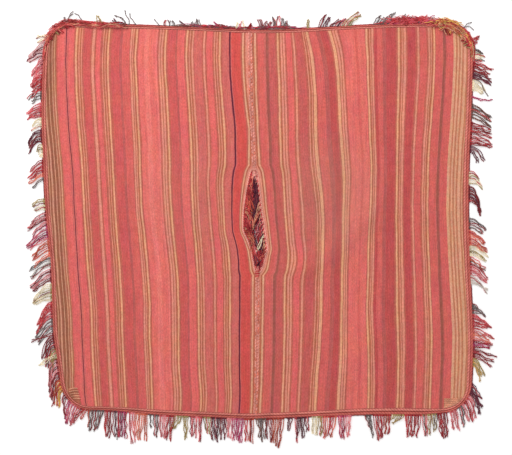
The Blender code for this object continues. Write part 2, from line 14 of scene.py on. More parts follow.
import bpy
import numpy as np
from bpy.types import ID
from bpy.types import Material
from bpy.types import Node
from bpy.types import NodeSocket
from bpy.types import NodeTree
from bpy.types import Object
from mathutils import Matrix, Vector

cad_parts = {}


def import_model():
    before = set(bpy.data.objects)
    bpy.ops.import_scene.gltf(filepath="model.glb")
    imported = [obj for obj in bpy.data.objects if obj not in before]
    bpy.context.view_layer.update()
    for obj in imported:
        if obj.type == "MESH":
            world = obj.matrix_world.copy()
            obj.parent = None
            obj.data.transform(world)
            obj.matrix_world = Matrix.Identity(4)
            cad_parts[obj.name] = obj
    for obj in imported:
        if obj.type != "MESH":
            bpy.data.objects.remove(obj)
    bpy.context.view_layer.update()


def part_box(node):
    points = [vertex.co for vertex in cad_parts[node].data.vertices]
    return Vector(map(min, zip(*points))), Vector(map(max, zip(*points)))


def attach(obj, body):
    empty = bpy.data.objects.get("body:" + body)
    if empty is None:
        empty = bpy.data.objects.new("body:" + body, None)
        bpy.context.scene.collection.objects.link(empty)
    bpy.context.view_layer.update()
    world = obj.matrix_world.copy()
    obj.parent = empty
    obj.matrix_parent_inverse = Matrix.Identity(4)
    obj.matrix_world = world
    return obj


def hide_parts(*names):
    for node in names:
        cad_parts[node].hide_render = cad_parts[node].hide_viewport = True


LOG = logging.getLogger("andean_poncho")
MM = 0.001
BODY = "root"
RUNS = ("top", "side", "corner", "bottom")
UP = (0.0, 0.0, 1.0)

# A yarn's surface coordinates count its length in steps of this many millimetres
YARN_SPAN = 100.0

# How deep the relief in the wool's materials is, in millimetres
RELIEF = 0.5

# The least angles between faces that show as an edge, on sheets and on the binding
SHEET_ANGLE = math.radians(40.0)
BINDING_ANGLE = math.radians(70.0)


class Dye(Enum):
    """Colours of the yarns, as sRGB hex values."""

    CORAL = "E36A67"
    WARM_CORAL = "E5716A"
    PALE_CORAL = "EC7B74"
    MADDER = "D96661"
    ROSE_RED = "D36B65"
    DULL_BRICK = "CB615D"
    BRICK = "D15E5C"
    DEEP_BRICK = "C55554"
    SCARLET = "D65651"
    STRAW = "E9A180"
    BLUSH = "E48F7C"
    SAND = "E3A284"
    FAWN = "D5947B"
    UMBER = "C87C60"
    EDGE = "C26558"
    CLAY = "BC6A53"
    COCOA = "B66D56"
    BARK = "9E5F4A"
    NAVY = "6E303E"
    ASH_BROWN = "A65A51"
    ASH_ROSE = "BE5F5C"
    BINDING = "DF8478"
    BINDING_RED = "CC6A60"
    # Painted shade, for the binding's grooves
    GROOVE_SHADE = "AC4E47"
    STITCH = "F2A496"
    OXBLOOD = "A63F3C"
    CREAM = "F6E6C6"
    PALE = "E2D4CA"
    PALE_PINK = "EDB8B8"
    PINK = "E88C90"
    ROSE = "DC646A"
    MAGENTA = "BE4A70"
    CRIMSON = "C8464A"
    DARK_RED = "A23238"
    MAROON = "8E3A3E"
    DEEP_PLUM = "4E2230"
    PLUM = "743A46"
    SLATE = "7E6A68"
    BROWN = "86584C"
    OLIVE = "B39A68"
    SALMON = "E8826C"
    RUST = "C65E48"
    GOLD = "E8B060"
    GREYED = "AA8E7A"


class Motif(Enum):
    """Groups of coloured warp yarns, each line as a dye and its width in millimetres."""

    NONE = ()
    BAND_LEFT = (
        (Dye.CLAY, 2.8), (Dye.BARK, 2.4), (Dye.FAWN, 3.0), (Dye.BARK, 5.0), (Dye.FAWN, 4.9),
        (Dye.BARK, 5.2), (Dye.FAWN, 4.6), (Dye.BARK, 5.3), (Dye.FAWN, 3.9), (Dye.COCOA, 3.5),
        (Dye.SAND, 3.7), (Dye.COCOA, 4.7), (Dye.MADDER, 4.2),
    )
    BAND_RIGHT = (
        (Dye.FAWN, 8.6), (Dye.CLAY, 4.7), (Dye.SAND, 4.6), (Dye.UMBER, 4.6), (Dye.SAND, 5.3),
        (Dye.UMBER, 5.9), (Dye.SAND, 5.5), (Dye.UMBER, 4.9), (Dye.SAND, 5.0), (Dye.UMBER, 4.5),
        (Dye.SAND, 5.6), (Dye.MADDER, 2.5),
    )
    TRIPLE_IN = (
        (Dye.EDGE, 4.2), (Dye.BLUSH, 3.7), (Dye.CLAY, 3.4), (Dye.BLUSH, 3.3), (Dye.CLAY, 3.7),
        (Dye.STRAW, 5.2), (Dye.EDGE, 4.8),
    )
    TRIPLE_OUT = (
        (Dye.EDGE, 3.5), (Dye.STRAW, 5.1), (Dye.CLAY, 3.7), (Dye.BLUSH, 3.2), (Dye.CLAY, 3.3),
        (Dye.BLUSH, 3.8), (Dye.EDGE, 3.9),
    )
    SINGLE = ((Dye.EDGE, 4.6), (Dye.BLUSH, 5.0), (Dye.EDGE, 4.5))
    NAVY_LINE = ((Dye.ROSE_RED, 3.4), (Dye.NAVY, 4.2), (Dye.ROSE_RED, 3.4))
    ASH_LINE = ((Dye.ASH_ROSE, 4.6),)
    ASH_BAND = ((Dye.ASH_ROSE, 3.4), (Dye.ASH_BROWN, 5.8), (Dye.ROSE_RED, 4.4))
    SEAM_LINE = ((Dye.EDGE, 5.3), (Dye.SAND, 6.1), (Dye.CLAY, 4.7))


class ChartRow(NamedTuple):
    """Where a motif starts, in from the outer edge, its width, and the ground that follows it."""

    start: float
    motif: Motif
    width: float
    ground: Dye


LEFT_CHART = (
    ChartRow(-12, Motif.BAND_LEFT, 53, Dye.CORAL),
    ChartRow(58, Motif.NAVY_LINE, 12, Dye.CORAL),
    ChartRow(88, Motif.TRIPLE_OUT, 28, Dye.BRICK),
    ChartRow(136, Motif.SINGLE, 15, Dye.CORAL),
    ChartRow(166, Motif.TRIPLE_IN, 31, Dye.BRICK),
    ChartRow(222, Motif.ASH_LINE, 7, Dye.MADDER),
    ChartRow(250, Motif.TRIPLE_IN, 27, Dye.WARM_CORAL),
    ChartRow(294, Motif.NONE, 0, Dye.PALE_CORAL),
    ChartRow(309, Motif.NONE, 0, Dye.WARM_CORAL),
    ChartRow(329, Motif.NONE, 0, Dye.PALE_CORAL),
    ChartRow(334, Motif.TRIPLE_IN, 31, Dye.BRICK),
    ChartRow(386, Motif.ASH_LINE, 7, Dye.CORAL),
    ChartRow(413, Motif.TRIPLE_OUT, 30, Dye.ROSE_RED),
    ChartRow(463, Motif.SINGLE, 15, Dye.CORAL),
    ChartRow(495, Motif.TRIPLE_IN, 28, Dye.ROSE_RED),
    ChartRow(540, Motif.NAVY_LINE, 10, Dye.SCARLET),
    ChartRow(576, Motif.SEAM_LINE, 16, Dye.BLUSH),
)

RIGHT_CHART = (
    ChartRow(-12, Motif.BAND_RIGHT, 62, Dye.MADDER),
    ChartRow(70, Motif.ASH_BAND, 13, Dye.MADDER),
    ChartRow(101, Motif.TRIPLE_OUT, 26, Dye.MADDER),
    ChartRow(144, Motif.SINGLE, 13, Dye.DEEP_BRICK),
    ChartRow(177, Motif.TRIPLE_IN, 28, Dye.DEEP_BRICK),
    ChartRow(229, Motif.ASH_LINE, 9, Dye.MADDER),
    ChartRow(254, Motif.NONE, 0, Dye.DEEP_BRICK),
    ChartRow(260, Motif.TRIPLE_IN, 26, Dye.WARM_CORAL),
    ChartRow(304, Motif.NONE, 0, Dye.MADDER),
    ChartRow(312, Motif.NONE, 0, Dye.WARM_CORAL),
    ChartRow(344, Motif.TRIPLE_IN, 30, Dye.DEEP_BRICK),
    ChartRow(390, Motif.ASH_LINE, 13, Dye.MADDER),
    ChartRow(425, Motif.TRIPLE_OUT, 26, Dye.DULL_BRICK),
    ChartRow(472, Motif.SINGLE, 14, Dye.CORAL),
    ChartRow(501, Motif.TRIPLE_IN, 30, Dye.DULL_BRICK),
    ChartRow(548, Motif.ASH_BAND, 14, Dye.MADDER),
    ChartRow(579, Motif.SEAM_LINE, 16, Dye.BLUSH),
)


class Crease(NamedTuple):
    """A soft fold across the cloth: its line, height, and how far its two flanks run out."""

    line: tuple
    height: float
    steep: float
    gentle: float


# Height y, then how far the bound edge lies to the left and to the right
SIDE_ROWS = (
    (600, -619, 617), (483, -629, 618), (325, -634, 613), (190, -629, 607), (60, -623, 605),
    (-40, -613, 607), (-125, -606, 610), (-300, -600, 618), (-373, -590, 618),
    (-445, -580, 615), (-540, -571, 612),
)

# Distance x, then the heights of the bound lower and upper edges
HEM_ROWS = (
    (-625, -531, 592), (-551, -531, 589), (-493, -532, 586), (-406, -535, 585),
    (-319, -541, 583), (-174, -547, 578), (-43, -552, 572), (29, -550, 571), (116, -547, 573),
    (290, -538, 583), (406, -536, 587), (493, -538, 588), (620, -538, 590),
)

# Height y, then where the joining seam runs
SEAM_ROWS = (
    (590, -29), (367, -26), (193, -18), (-140, -8), (-271, -8), (-430, -10), (-570, -15),
)

# Height y, then how far the cloth is drawn back on the left and right of the neck slit
NECK_ROWS = (
    (178, 0, 0), (160, 12, 10), (135, 20, 14), (90, 30, 18), (48, 37, 21), (10, 40, 26),
    (-14, 39, 28), (-40, 28, 31), (-68, 19, 33), (-86, 16, 27), (-106, 12, 22), (-128, 8, 14),
    (-142, 0, 0),
)
SLIT_TOP = 160.0
SLIT_BOTTOM = -128.0

# Middle x and y of a low ridge, its length, width, height and lean in degrees
RIDGE_ROWS = (
    (165, -105, 300, 150, 6.0, 72),
    (300, 20, 400, 150, 7.0, 38),
    (290, -370, 380, 150, 6.0, 35),
    (180, 130, 420, 170, 4.0, 4),
    (440, 260, 440, 180, 4.0, -6),
    (-190, 60, 480, 180, 5.0, 8),
    (-400, 220, 520, 200, 4.0, -4),
    (-330, -270, 420, 190, 4.5, 5),
)

CREASES = (
    Crease(((20, -146), (150, -120), (240, -55), (330, 46), (375, 119)), 3.2, 22.0, 60.0),
    Crease(((200, -500), (260, -404), (315, -331), (370, -244)), 2.3, 22.0, 54.0),
    Crease(((-40, -150), (-160, -178), (-300, -150), (-420, -175)), 1.3, 16.0, 46.0),
    Crease(((-90, 150), (-104, 40), (-78, -70)), 1.6, 20.0, 38.0),
    Crease(((-480, 430), (-500, 250), (-470, 60)), 1.2, 20.0, 40.0),
    Crease(((470, 480), (500, 330), (480, 150)), 1.3, 18.0, 40.0),
    Crease(((-520, -300), (-420, -330), (-300, -420)), 1.2, 16.0, 40.0),
)


class Pull(NamedTuple):
    """Where wear has drawn the warp aside, how far towards +X, and how far off that has faded."""

    inset: float
    y: float
    aside: float
    across: float
    along: float


# Insets, and how far a pull reaches across, are shares of a panel's width
PULLS = {
    -1: (
        Pull(0.45, 505, -10, 0.90, 125),
        Pull(0.00, 600, -8, 0.20, 70),
        Pull(0.00, 100, 11, 0.30, 190),
        Pull(0.52, 100, -4, 0.15, 160),
        Pull(0.82, 120, -6, 0.08, 60),
        Pull(0.97, 285, 5, 0.10, 60),
        Pull(0.96, -80, 6, 0.12, 70),
        Pull(0.55, -230, 7, 0.22, 170),
        Pull(0.05, -270, 12, 0.32, 110),
        Pull(0.00, -470, -7, 0.12, 45),
        Pull(0.72, -500, 6, 0.22, 60),
    ),
    1: (
        Pull(0.67, 590, -20, 0.12, 70),
        Pull(0.20, 500, 12, 0.14, 220),
        Pull(0.64, 360, 9, 0.20, 120),
        Pull(0.53, 160, 17, 0.17, 140),
        Pull(0.68, 0, 20, 0.13, 160),
        Pull(0.03, 60, -5, 0.12, 240),
        Pull(0.97, -50, 4, 0.10, 500),
        Pull(0.82, -95, 8, 0.07, 45),
        Pull(0.68, -260, 11, 0.12, 150),
        Pull(0.45, -270, -9, 0.13, 130),
    ),
}

# Distance x, then how much wider than elsewhere the binding is along the hem
HEM_BULGE = (
    (-500, 0), (-435, 1), (-365, 4), (-290, 5), (-60, 5), (0, 6), (150, 6), (250, 8), (455, 9),
    (500, 5), (530, 2),
)

# Distance x, then how far down over the cloth the turned-in fringe reaches at each shoulder corner
TURNED_ROWS = {
    -1: ((-630, 7), (-605, 9), (-575, 7), (-480, 7), (-455, 11), (-403, 10), (-396, 4)),
    1: ((500, 5), (515, 13), (540, 22), (575, 22), (600, 16), (628, 8)),
}

# Distance x, then how far the shoulder edge's heading tape stands up above the binding
TAPE_ROWS = (
    (-622, 3), (-590, 11), (-560, 15), (-520, 12), (-440, 9), (-400, 4), (330, 4), (370, 13),
    (405, 22), (480, 20), (502, 8), (520, 14), (590, 6), (612, 3),
)


# Where the fringe that is turned in at a shoulder corner starts, along the shoulder edge
TURNED_STARTS = {-1: (-403.0, 590.0), 1: (508.0, 590.0)}

# The dyes of that turned fringe: its ground, then its loose ends
TURNED_DYES = {
    -1: (
        Dye.BRICK,
        (Dye.CRIMSON, Dye.ROSE_RED, Dye.DARK_RED, Dye.MADDER, Dye.CLAY, Dye.SAND, Dye.ROSE_RED)
        + (Dye.ASH_BROWN, Dye.BRICK, Dye.MADDER),
    ),
    1: (
        Dye.RUST,
        (Dye.RUST, Dye.GOLD, Dye.FAWN, Dye.SAND, Dye.RUST, Dye.OLIVE, Dye.MADDER, Dye.UMBER)
        + (Dye.UMBER, Dye.CRIMSON),
    ),
}

# Heaps of yarn ends above the shoulder edge: distance x with the heap's reach, and its dyes
EDGE_HEAPS = (
    (
        ((-622, 4), (-590, 13), (-560, 16), (-520, 12), (-440, 9), (-405, 7), (-395, 0)),
        (Dye.CRIMSON, Dye.DARK_RED, Dye.BRICK, Dye.ROSE_RED, Dye.CRIMSON, Dye.BRICK, Dye.OXBLOOD),
    ),
    (
        ((-245, 0), (-228, 7), (-185, 8), (-60, 9), (-12, 8), (0, 10), (100, 10), (118, 0)),
        (Dye.MAROON, Dye.SLATE, Dye.CRIMSON, Dye.PLUM, Dye.DARK_RED, Dye.MAGENTA, Dye.BROWN),
    ),
    (
        ((352, 0), (372, 14), (405, 24), (465, 24), (488, 20), (500, 6)),
        (Dye.CRIMSON, Dye.ROSE, Dye.CRIMSON, Dye.MAGENTA, Dye.CRIMSON, Dye.ROSE, Dye.DARK_RED),
    ),
    (
        ((498, 0), (508, 14), (530, 18), (560, 14), (582, 7), (592, 0)),
        (Dye.GOLD, Dye.RUST, Dye.GOLD, Dye.OLIVE, Dye.RUST, Dye.BRICK, Dye.GOLD),
    ),
    (
        ((556, 0), (570, 9), (598, 9), (612, 7)),
        (Dye.CRIMSON, Dye.BRICK, Dye.DARK_RED, Dye.CRIMSON, Dye.RUST),
    ),
)


# A bead of the seam, from its upper end: how far along as a share of the pitch, how far aside,
# its height over the cloth, and its share of the full thickness
BEAD_ROWS = (
    (0.48, 0.5, 0.3, 0.4), (0.3, 0.3, 1.2, 0.9), (0.0, 0.0, 1.7, 1.0), (-0.3, -0.3, 1.2, 0.9),
    (-0.48, -0.5, 0.3, 0.4),
)

# A cross stitch of the seam, from its left end: the share of its length, and its height
CROSS_ROWS = ((0.0, 0.5), (0.35, 1.2), (0.7, 1.2), (1.0, 0.5))

# Where a wrap of a tack has its points, as shares of its half width
WRAP_SHARES = (-1.0, -0.8, -0.4, 0.0, 0.4, 0.8, 1.0)


class Tuft(NamedTuple):
    """Strands that hang together: the ends of their roots, the ends of their tips, and dyes.

    The chart gives its places in squares, and charted() turns them into millimetres.
    """

    root_x: float
    root_y: float
    last_root_x: float
    last_root_y: float
    tip_x: float
    tip_y: float
    last_tip_x: float
    last_tip_y: float
    dyes: str
    count: int
    bow: float = 0.0

    @property
    def main_dye(self) -> Dye:
        """The first of its dyes, which its heading is dyed in too."""
        return Dye[self.dyes.split()[0]]


# The fringe was charted in squares, counted from the chart's upper left corner, with a
# row for each tuft in the order of Tuft's fields
CHART_SQUARE = 2.9
CHART_MIDDLE_X = 260.0
CHART_MIDDLE_Y = 226.5
BOW_STEP = 3.0

FRINGE_CHART = {
    "side_left": (
        (44, 31, 44, 40, 36, 36, 34, 44, "CREAM", 6),
        (43, 42, 43, 57, 31, 55, 28, 64, "PLUM MAROON PALE_PINK", 12),
        (43, 57, 42.5, 73, 33, 71, 31, 84, "PINK ROSE", 11),
        (42, 74, 41.5, 91, 31, 83, 32, 98, "CRIMSON ROSE DARK_RED", 14),
        (41.5, 91, 41.5, 100, 26, 97, 36, 105, "SLATE", 5, 1),
        (41.5, 102, 41.5, 118, 28, 111, 28, 121, "ROSE CRIMSON PINK", 13),
        (41.5, 118, 41.5, 128, 33, 124, 31, 132, "CREAM", 6, 1),
        (41.5, 129, 42, 143, 26, 143, 31, 155, "MAROON PLUM", 11, 2),
        (42, 145, 42, 158, 37, 148, 38, 159, "CREAM OLIVE", 6, 2),
        (42.5, 159, 43, 177, 29, 172, 31, 184, "CRIMSON SALMON", 12),
        (43, 177, 43.5, 181, 33, 187, 34, 189, "SLATE", 2),
        (44.5, 198, 45, 211, 33, 204, 34, 214, "OLIVE CREAM", 8, 1),
        (45, 212, 46, 225, 28, 222, 31, 237, "MAROON PINK", 10),
        (46.5, 226, 47.5, 240, 28, 243, 30, 251, "MAGENTA PINK", 10),
        (48, 241, 49, 256, 32, 254, 36, 266, "SALMON RUST", 10),
        (49, 256, 50, 267, 30, 267, 32, 280, "PALE SLATE", 7),
        (50.5, 269, 51, 282, 31, 287, 33, 294, "MAROON PINK", 9),
        (51, 283, 52, 301, 33, 297, 35, 305, "OLIVE CREAM", 10, 1),
        (52, 302, 53, 318, 37, 325, 38, 334, "CRIMSON MAROON ROSE", 14),
        (53, 318, 53, 332, 34, 337, 40, 346, "SLATE", 8),
        (53, 333, 53, 336, 31, 340, 33, 341, "MAROON", 2),
        (53.5, 335, 55.5, 350, 42, 356, 47, 370, "MAROON PLUM", 12, 1),
        (55.5, 349, 57, 358, 50.5, 364, 53, 371, "OLIVE", 8, 1),
        (56.5, 352, 57, 357, 38, 362, 42, 367, "CREAM", 3),
        (57.5, 359, 60.5, 380, 49, 386, 53, 401, "MAROON PINK CRIMSON", 14, 1),
        (59, 371, 59.5, 374, 46, 391, 48, 396, "MAROON", 2),
    ),
    "corner_left": (
        (60, 378, 62, 393, 54, 402, 61, 407, "RUST GOLD", 12),
        (61.5, 386, 61.9, 388, 51, 406, 52, 408, "BROWN", 1),
        (62.5, 395, 65, 401, 65, 417, 66, 420, "PLUM PALE_PINK", 5),
        (66, 402, 76, 408, 65, 422, 70, 425, "PINK MAGENTA", 9),
        (76, 408, 87, 411, 70, 424, 80, 421, "CRIMSON PINK RUST", 10, 1),
    ),
    "bottom_left": (
        (88, 411, 94, 411, 87, 427, 91, 433, "RUST SLATE", 6),
        (94, 411, 104, 411.5, 94, 430, 98, 428, "SLATE", 8),
        (104, 411, 112, 411.5, 104, 434, 112, 436, "MAROON CRIMSON", 7),
        (112, 412, 117, 412, 111, 432, 118, 440, "SLATE PLUM", 4),
        (117, 412, 128, 412, 116, 437, 127, 441, "MAGENTA PLUM", 10),
        (129, 412, 135, 412.5, 130, 443, 135, 440, "PINK RUST", 5),
        (135, 412.5, 148, 413, 134, 437, 148, 441, "SALMON RUST", 10),
        (149, 413, 152, 413, 150, 427, 151, 429, "SLATE", 2),
        (153, 413, 159, 413.5, 154, 436, 157, 438, "SLATE", 5),
        (159, 413.5, 175, 414, 160, 438, 171, 441, "CRIMSON PINK", 13),
        (174, 414, 182, 414.5, 170, 431, 176, 429, "CREAM OLIVE", 6, -1),
        (183, 414.5, 189, 415, 184, 441, 188, 436, "OLIVE", 4, 1),
        (190, 415, 203, 415.5, 190, 439, 202, 441, "ROSE PINK", 11),
        (203, 415.5, 210, 416, 206, 431, 211, 437, "OLIVE BROWN", 5),
        (210, 416, 227, 416.5, 210, 442, 226, 439, "MAROON PLUM", 15),
        (227, 416.5, 243, 417, 227, 439, 242, 445, "PINK MAGENTA", 14),
        (243, 417, 253.5, 417, 245, 441, 254, 443, "RUST CRIMSON", 8),
    ),
    "bottom_right": (
        (256, 417, 269, 416.5, 258, 440, 268, 440, "BROWN SLATE", 11, 1),
        (269, 416.5, 284, 416, 270, 441, 280, 446, "DARK_RED RUST", 12),
        (287, 416, 292, 415.5, 288, 430, 291, 431, "PLUM MAROON", 4),
        (294, 415.5, 300, 415, 295, 442, 298, 438, "PLUM", 5),
        (300, 415, 309, 415, 302, 438, 309, 431, "PLUM SLATE", 8),
        (311, 415, 323, 414.5, 312, 434, 322, 435, "OLIVE CREAM", 9),
        (323, 414.5, 337, 414, 323, 439, 333, 436, "CRIMSON SALMON", 10),
        (337, 413.5, 351, 413, 338, 440, 351, 436, "MAGENTA PINK", 11),
        (364, 412, 372, 412, 370, 431, 372, 437, "SLATE", 6),
        (373, 412, 391, 411.5, 376, 440, 389, 434, "CRIMSON RUST DARK_RED", 15),
        (392, 411.5, 405, 411.5, 387, 424, 396, 420, "OLIVE CREAM", 7, -1),
        (405, 411.5, 421, 412, 406, 436, 418, 438, "CRIMSON MAROON", 13),
        (421, 412, 437, 412, 424, 436, 438, 431, "OLIVE SLATE", 11),
        (437, 412, 448, 412, 440, 438, 448, 438, "CRIMSON DARK_RED", 10),
    ),
    "corner_right": (
        (448.5, 411.5, 457, 408.5, 452, 424, 459, 434, "ROSE PINK", 7),
        (457.5, 408, 461, 406, 461, 424, 465, 430, "SLATE PLUM", 4),
        (461, 406, 470, 395, 468, 424, 477, 416, "CRIMSON PINK DARK_RED", 13),
        (470, 395, 471, 391, 479, 417, 481, 414, "PLUM", 4),
        (470.5, 392, 472, 383, 481, 408, 483, 400, "PLUM", 8, -1),
    ),
    "side_right": (
        (472.8, 38, 472.5, 47, 481, 33, 479, 42, "CRIMSON PINK", 9),
        (473, 48, 473, 51, 485, 53, 484, 54.5, "OLIVE SLATE", 3),
        (473, 52, 473, 61, 484, 56, 483, 63, "CREAM OLIVE", 7),
        (473, 61, 473, 62, 485, 59, 485, 60, "SLATE", 1, 1),
        (473, 62, 473, 70, 492, 70, 490, 76, "MAROON DARK_RED", 8),
        (473, 70, 472.5, 79, 491, 80, 489, 85, "MAROON PLUM", 10, 1),
        (472.5, 80, 472, 92, 486, 88, 484, 97, "CREAM", 7),
        (472.5, 79, 472.5, 80, 487, 94, 486, 95, "SLATE", 1, 1),
        (472, 96.5, 472, 98, 495, 99, 492, 101, "MAGENTA", 2, -2),
        (471.8, 104, 471.4, 119, 493, 116, 490, 128, "SLATE BROWN", 11),
        (471.4, 121, 470.5, 145, 493, 131, 490, 149, "DARK_RED MAROON CRIMSON", 18),
        (470.5, 146, 470, 153, 488, 160, 477, 166, "PLUM", 6, 1),
        (469.5, 171, 469, 185, 481, 178, 482, 191, "CREAM OLIVE", 8, 2),
        (469, 186, 469, 203, 482, 211, 480, 217, "MAROON PLUM", 14, 2),
        (469, 218, 469.3, 230, 485, 228, 485, 238, "SLATE BROWN", 8, 1),
        (469.3, 230, 469.6, 246, 486, 242, 487, 254, "CRIMSON SALMON RUST", 13),
        (469.6, 246, 470, 256, 488, 256, 486, 264, "CREAM OLIVE", 9, 1),
        (470, 256, 470.2, 262, 486, 266, 485, 272, "BROWN RUST", 4),
        (470.2, 262, 470.6, 275, 488, 277, 486, 284, "CRIMSON PINK", 10),
        (470.6, 275, 471, 285, 489, 296, 486, 288, "PALE SLATE", 6),
        (471.8, 303, 472.3, 313, 487, 316, 483, 314, "SLATE", 8),
        (472.4, 313, 472.9, 327, 492, 328, 488, 328, "CRIMSON ROSE", 12),
        (472.9, 327, 473, 340, 493, 338, 489, 342, "SALMON PINK", 11),
        (473, 340, 473, 349, 494, 346, 490, 348, "MAGENTA DARK_RED", 8),
        (473, 349, 473, 357, 495, 355, 489, 367, "DARK_RED MAROON", 9),
        (473, 357, 472.6, 366, 486, 372, 480, 384, "GOLD OLIVE", 9),
    ),
    "top_left": (
        (63, 19.5, 65, 19.3, 62, 15, 65, 15, "SLATE", 2),
        (67, 19, 69, 19, 72, 9, 74, 12, "SLATE", 2, 2),
        (82, 18.5, 83, 18.5, 74, 11, 75, 12, "SLATE", 1, 1),
        (95, 23, 106, 23.5, 94, 13, 100, 17, "OLIVE SLATE", 3),
        (106, 24, 124, 24.5, 106, 21, 122, 19, "MAROON PLUM", 11, 1),
        (124, 24.5, 126, 24.5, 112, 15, 117, 16, "SLATE", 2, 2),
        (127, 24.5, 129, 24.5, 124, 9, 126, 12, "SLATE", 1, 1),
        (135, 24.8, 137, 24.8, 128, 8.5, 130, 12, "SLATE", 1, -1),
        (158, 26, 160, 26, 153, 17.5, 154, 18, "SLATE", 1),
        (163, 26, 176, 26.4, 162, 19, 173, 22, "SLATE PLUM", 6, 1),
        (184, 27, 186, 27, 179, 20, 180, 21, "PLUM", 2),
        (190, 27, 202, 27, 189, 19, 200, 22, "MAROON SLATE", 7),
        (208, 27.4, 227, 28, 210, 23, 222, 23.5, "MAGENTA MAROON", 10, 1),
        (234, 28.6, 246, 29, 235, 22, 244, 22.5, "CRIMSON CREAM", 6),
        (248, 29.2, 254, 29.4, 252, 21, 256, 23, "DARK_RED", 4),
    ),
    "top_right": (
        (257, 29.5, 273, 29.6, 257, 20, 273, 19, "DARK_RED MAROON", 11, 1),
        (272, 29.6, 279, 29.5, 270, 15.5, 280, 17, "MAROON SLATE", 6, 1),
        (279, 29.5, 289, 29.3, 282, 16.5, 288, 24, "SLATE", 7),
        (306, 28.6, 309, 28.5, 308, 22, 310.5, 17, "OLIVE", 3),
        (318, 28.2, 327, 27.8, 324, 14, 333, 17, "MAROON PLUM", 7),
        (328, 27.6, 341, 27, 340, 18, 348, 18, "MAROON PLUM", 7),
        (342, 27, 352, 26.4, 354, 13, 364, 14, "OLIVE CREAM", 7),
        (372, 25.4, 390, 24.6, 378, 16, 395, 13, "SLATE", 9),
        (389, 24.6, 410, 24.2, 401, 19, 424, 19, "CRIMSON ROSE", 10),
        (412, 24.2, 433, 24, 398, 19.5, 419, 18.5, "CRIMSON MAGENTA DARK_RED", 9),
        (400, 24.2, 401, 24.2, 406, 15.3, 407, 15.5, "SLATE", 1, 1),
        (417, 24.1, 418, 24.1, 421.5, 17, 422, 17, "SLATE", 1),
        (425, 24, 434, 24.4, 428, 20, 434, 20, "DARK_RED MAROON", 5),
        (434, 24, 444, 25, 440, 21.5, 451, 23, "GOLD OLIVE RUST", 7),
        (444, 25, 456, 27, 451, 22, 462, 26, "OLIVE RUST CRIMSON", 5),
        (466, 25, 467, 25.5, 473.5, 29.5, 474, 30, "SLATE", 1, 3),
        (465, 25, 466, 25, 472, 22.3, 473, 22.8, "SLATE", 1),
    ),
    # The neck tufts' dyes are darkened: partly the yarns' own dyes, partly painted shade in the slit
    "neck_left": (
        (249, 172, 248, 186, 252.5, 187, 251.5, 202, "CRIMSON PLUM SALMON", 10),
        (248, 186, 245.5, 203, 251.5, 202, 250.5, 219, "CRIMSON BRICK RUST", 15),
        (245.5, 203, 244.5, 214, 252, 217, 252, 229, "SAND CRIMSON SALMON RUST", 10, 1),
        (244.5, 213, 244, 227, 251, 229, 252, 243, "BRICK DARK_RED CRIMSON", 14),
        (244, 226, 247.5, 241, 252.5, 243, 255, 256, "FAWN SAND SALMON RUST", 12, 1),
        (247.5, 240, 251, 252, 255, 254, 257.5, 263, "BRICK CRIMSON MAROON PINK", 13),
        (251, 251, 254.5, 262, 257.5, 262, 259, 269, "PLUM CRIMSON", 11),
    ),
    "neck_right": (
        (257.5, 174, 258, 187, 255, 189, 255.5, 203, "DEEP_PLUM PLUM", 10),
        (258, 186, 259.5, 202, 255, 202, 256, 219, "DEEP_PLUM PLUM", 15),
        (259.5, 201, 262, 216, 255, 215, 256.5, 231, "SAND CREAM FAWN SALMON SAND DEEP_PLUM", 12, -1),
        (262, 216, 264, 231, 257, 231, 258.5, 246, "CRIMSON DEEP_PLUM PLUM PINK", 15),
        (264.5, 231, 265.5, 247, 258, 247, 260, 259, "SAND CREAM FAWN SAND OXBLOOD", 13, -1),
        (265.5, 246, 264, 258, 259, 258, 260, 265, "CRIMSON DARK_RED SALMON", 13),
        (263.5, 257, 261.5, 265, 259, 264, 260, 269, "DEEP_PLUM CRIMSON", 9),
    ),
    "turned_left": (
        (45, 41, 50, 28, 51, 45, 57, 34, "CRIMSON DARK_RED", 10),
        (50, 28, 60, 21, 57, 34, 66, 28, "DARK_RED OLIVE", 10),
        (60, 21, 71, 19.5, 65, 29, 75, 27, "CRIMSON DARK_RED", 9),
    ),
    "turned_right": (
        (438, 23.8, 442, 23.8, 446, 34, 450, 36, "SAND RUST SAND", 5, 2),
        (472.8, 49, 471.5, 36, 467, 50, 464, 42, "DARK_RED OLIVE", 8),
        (471.5, 36, 464, 27, 464, 42, 456, 36, "OLIVE DARK_RED GOLD", 11),
        (464, 27, 452, 23.8, 456, 36, 449, 31, "GOLD RUST OLIVE", 11),
        (452, 23.8, 444, 23.8, 451, 33, 445, 30, "GOLD RUST", 8),
    ),
}


def charted(run: str) -> list[Tuft]:
    """The tufts of a run of fringe, moved from the chart's squares to whole millimetres.

    Args:
        run: The name of the run, with its side.

    Returns:
        Its tufts, in order along it.
    """
    tufts = []
    for row in (Tuft(*entry) for entry in FRINGE_CHART[run]):
        across = [round((square - CHART_MIDDLE_X) * CHART_SQUARE) for square in row[0:8:2]]
        up = [round((CHART_MIDDLE_Y - square) * CHART_SQUARE) for square in row[1:8:2]]
        places = [place for pair in zip(across, up) for place in pair]
        tufts.append(Tuft(*places, row.dyes, row.count, row.bow * BOW_STEP))
    return tufts


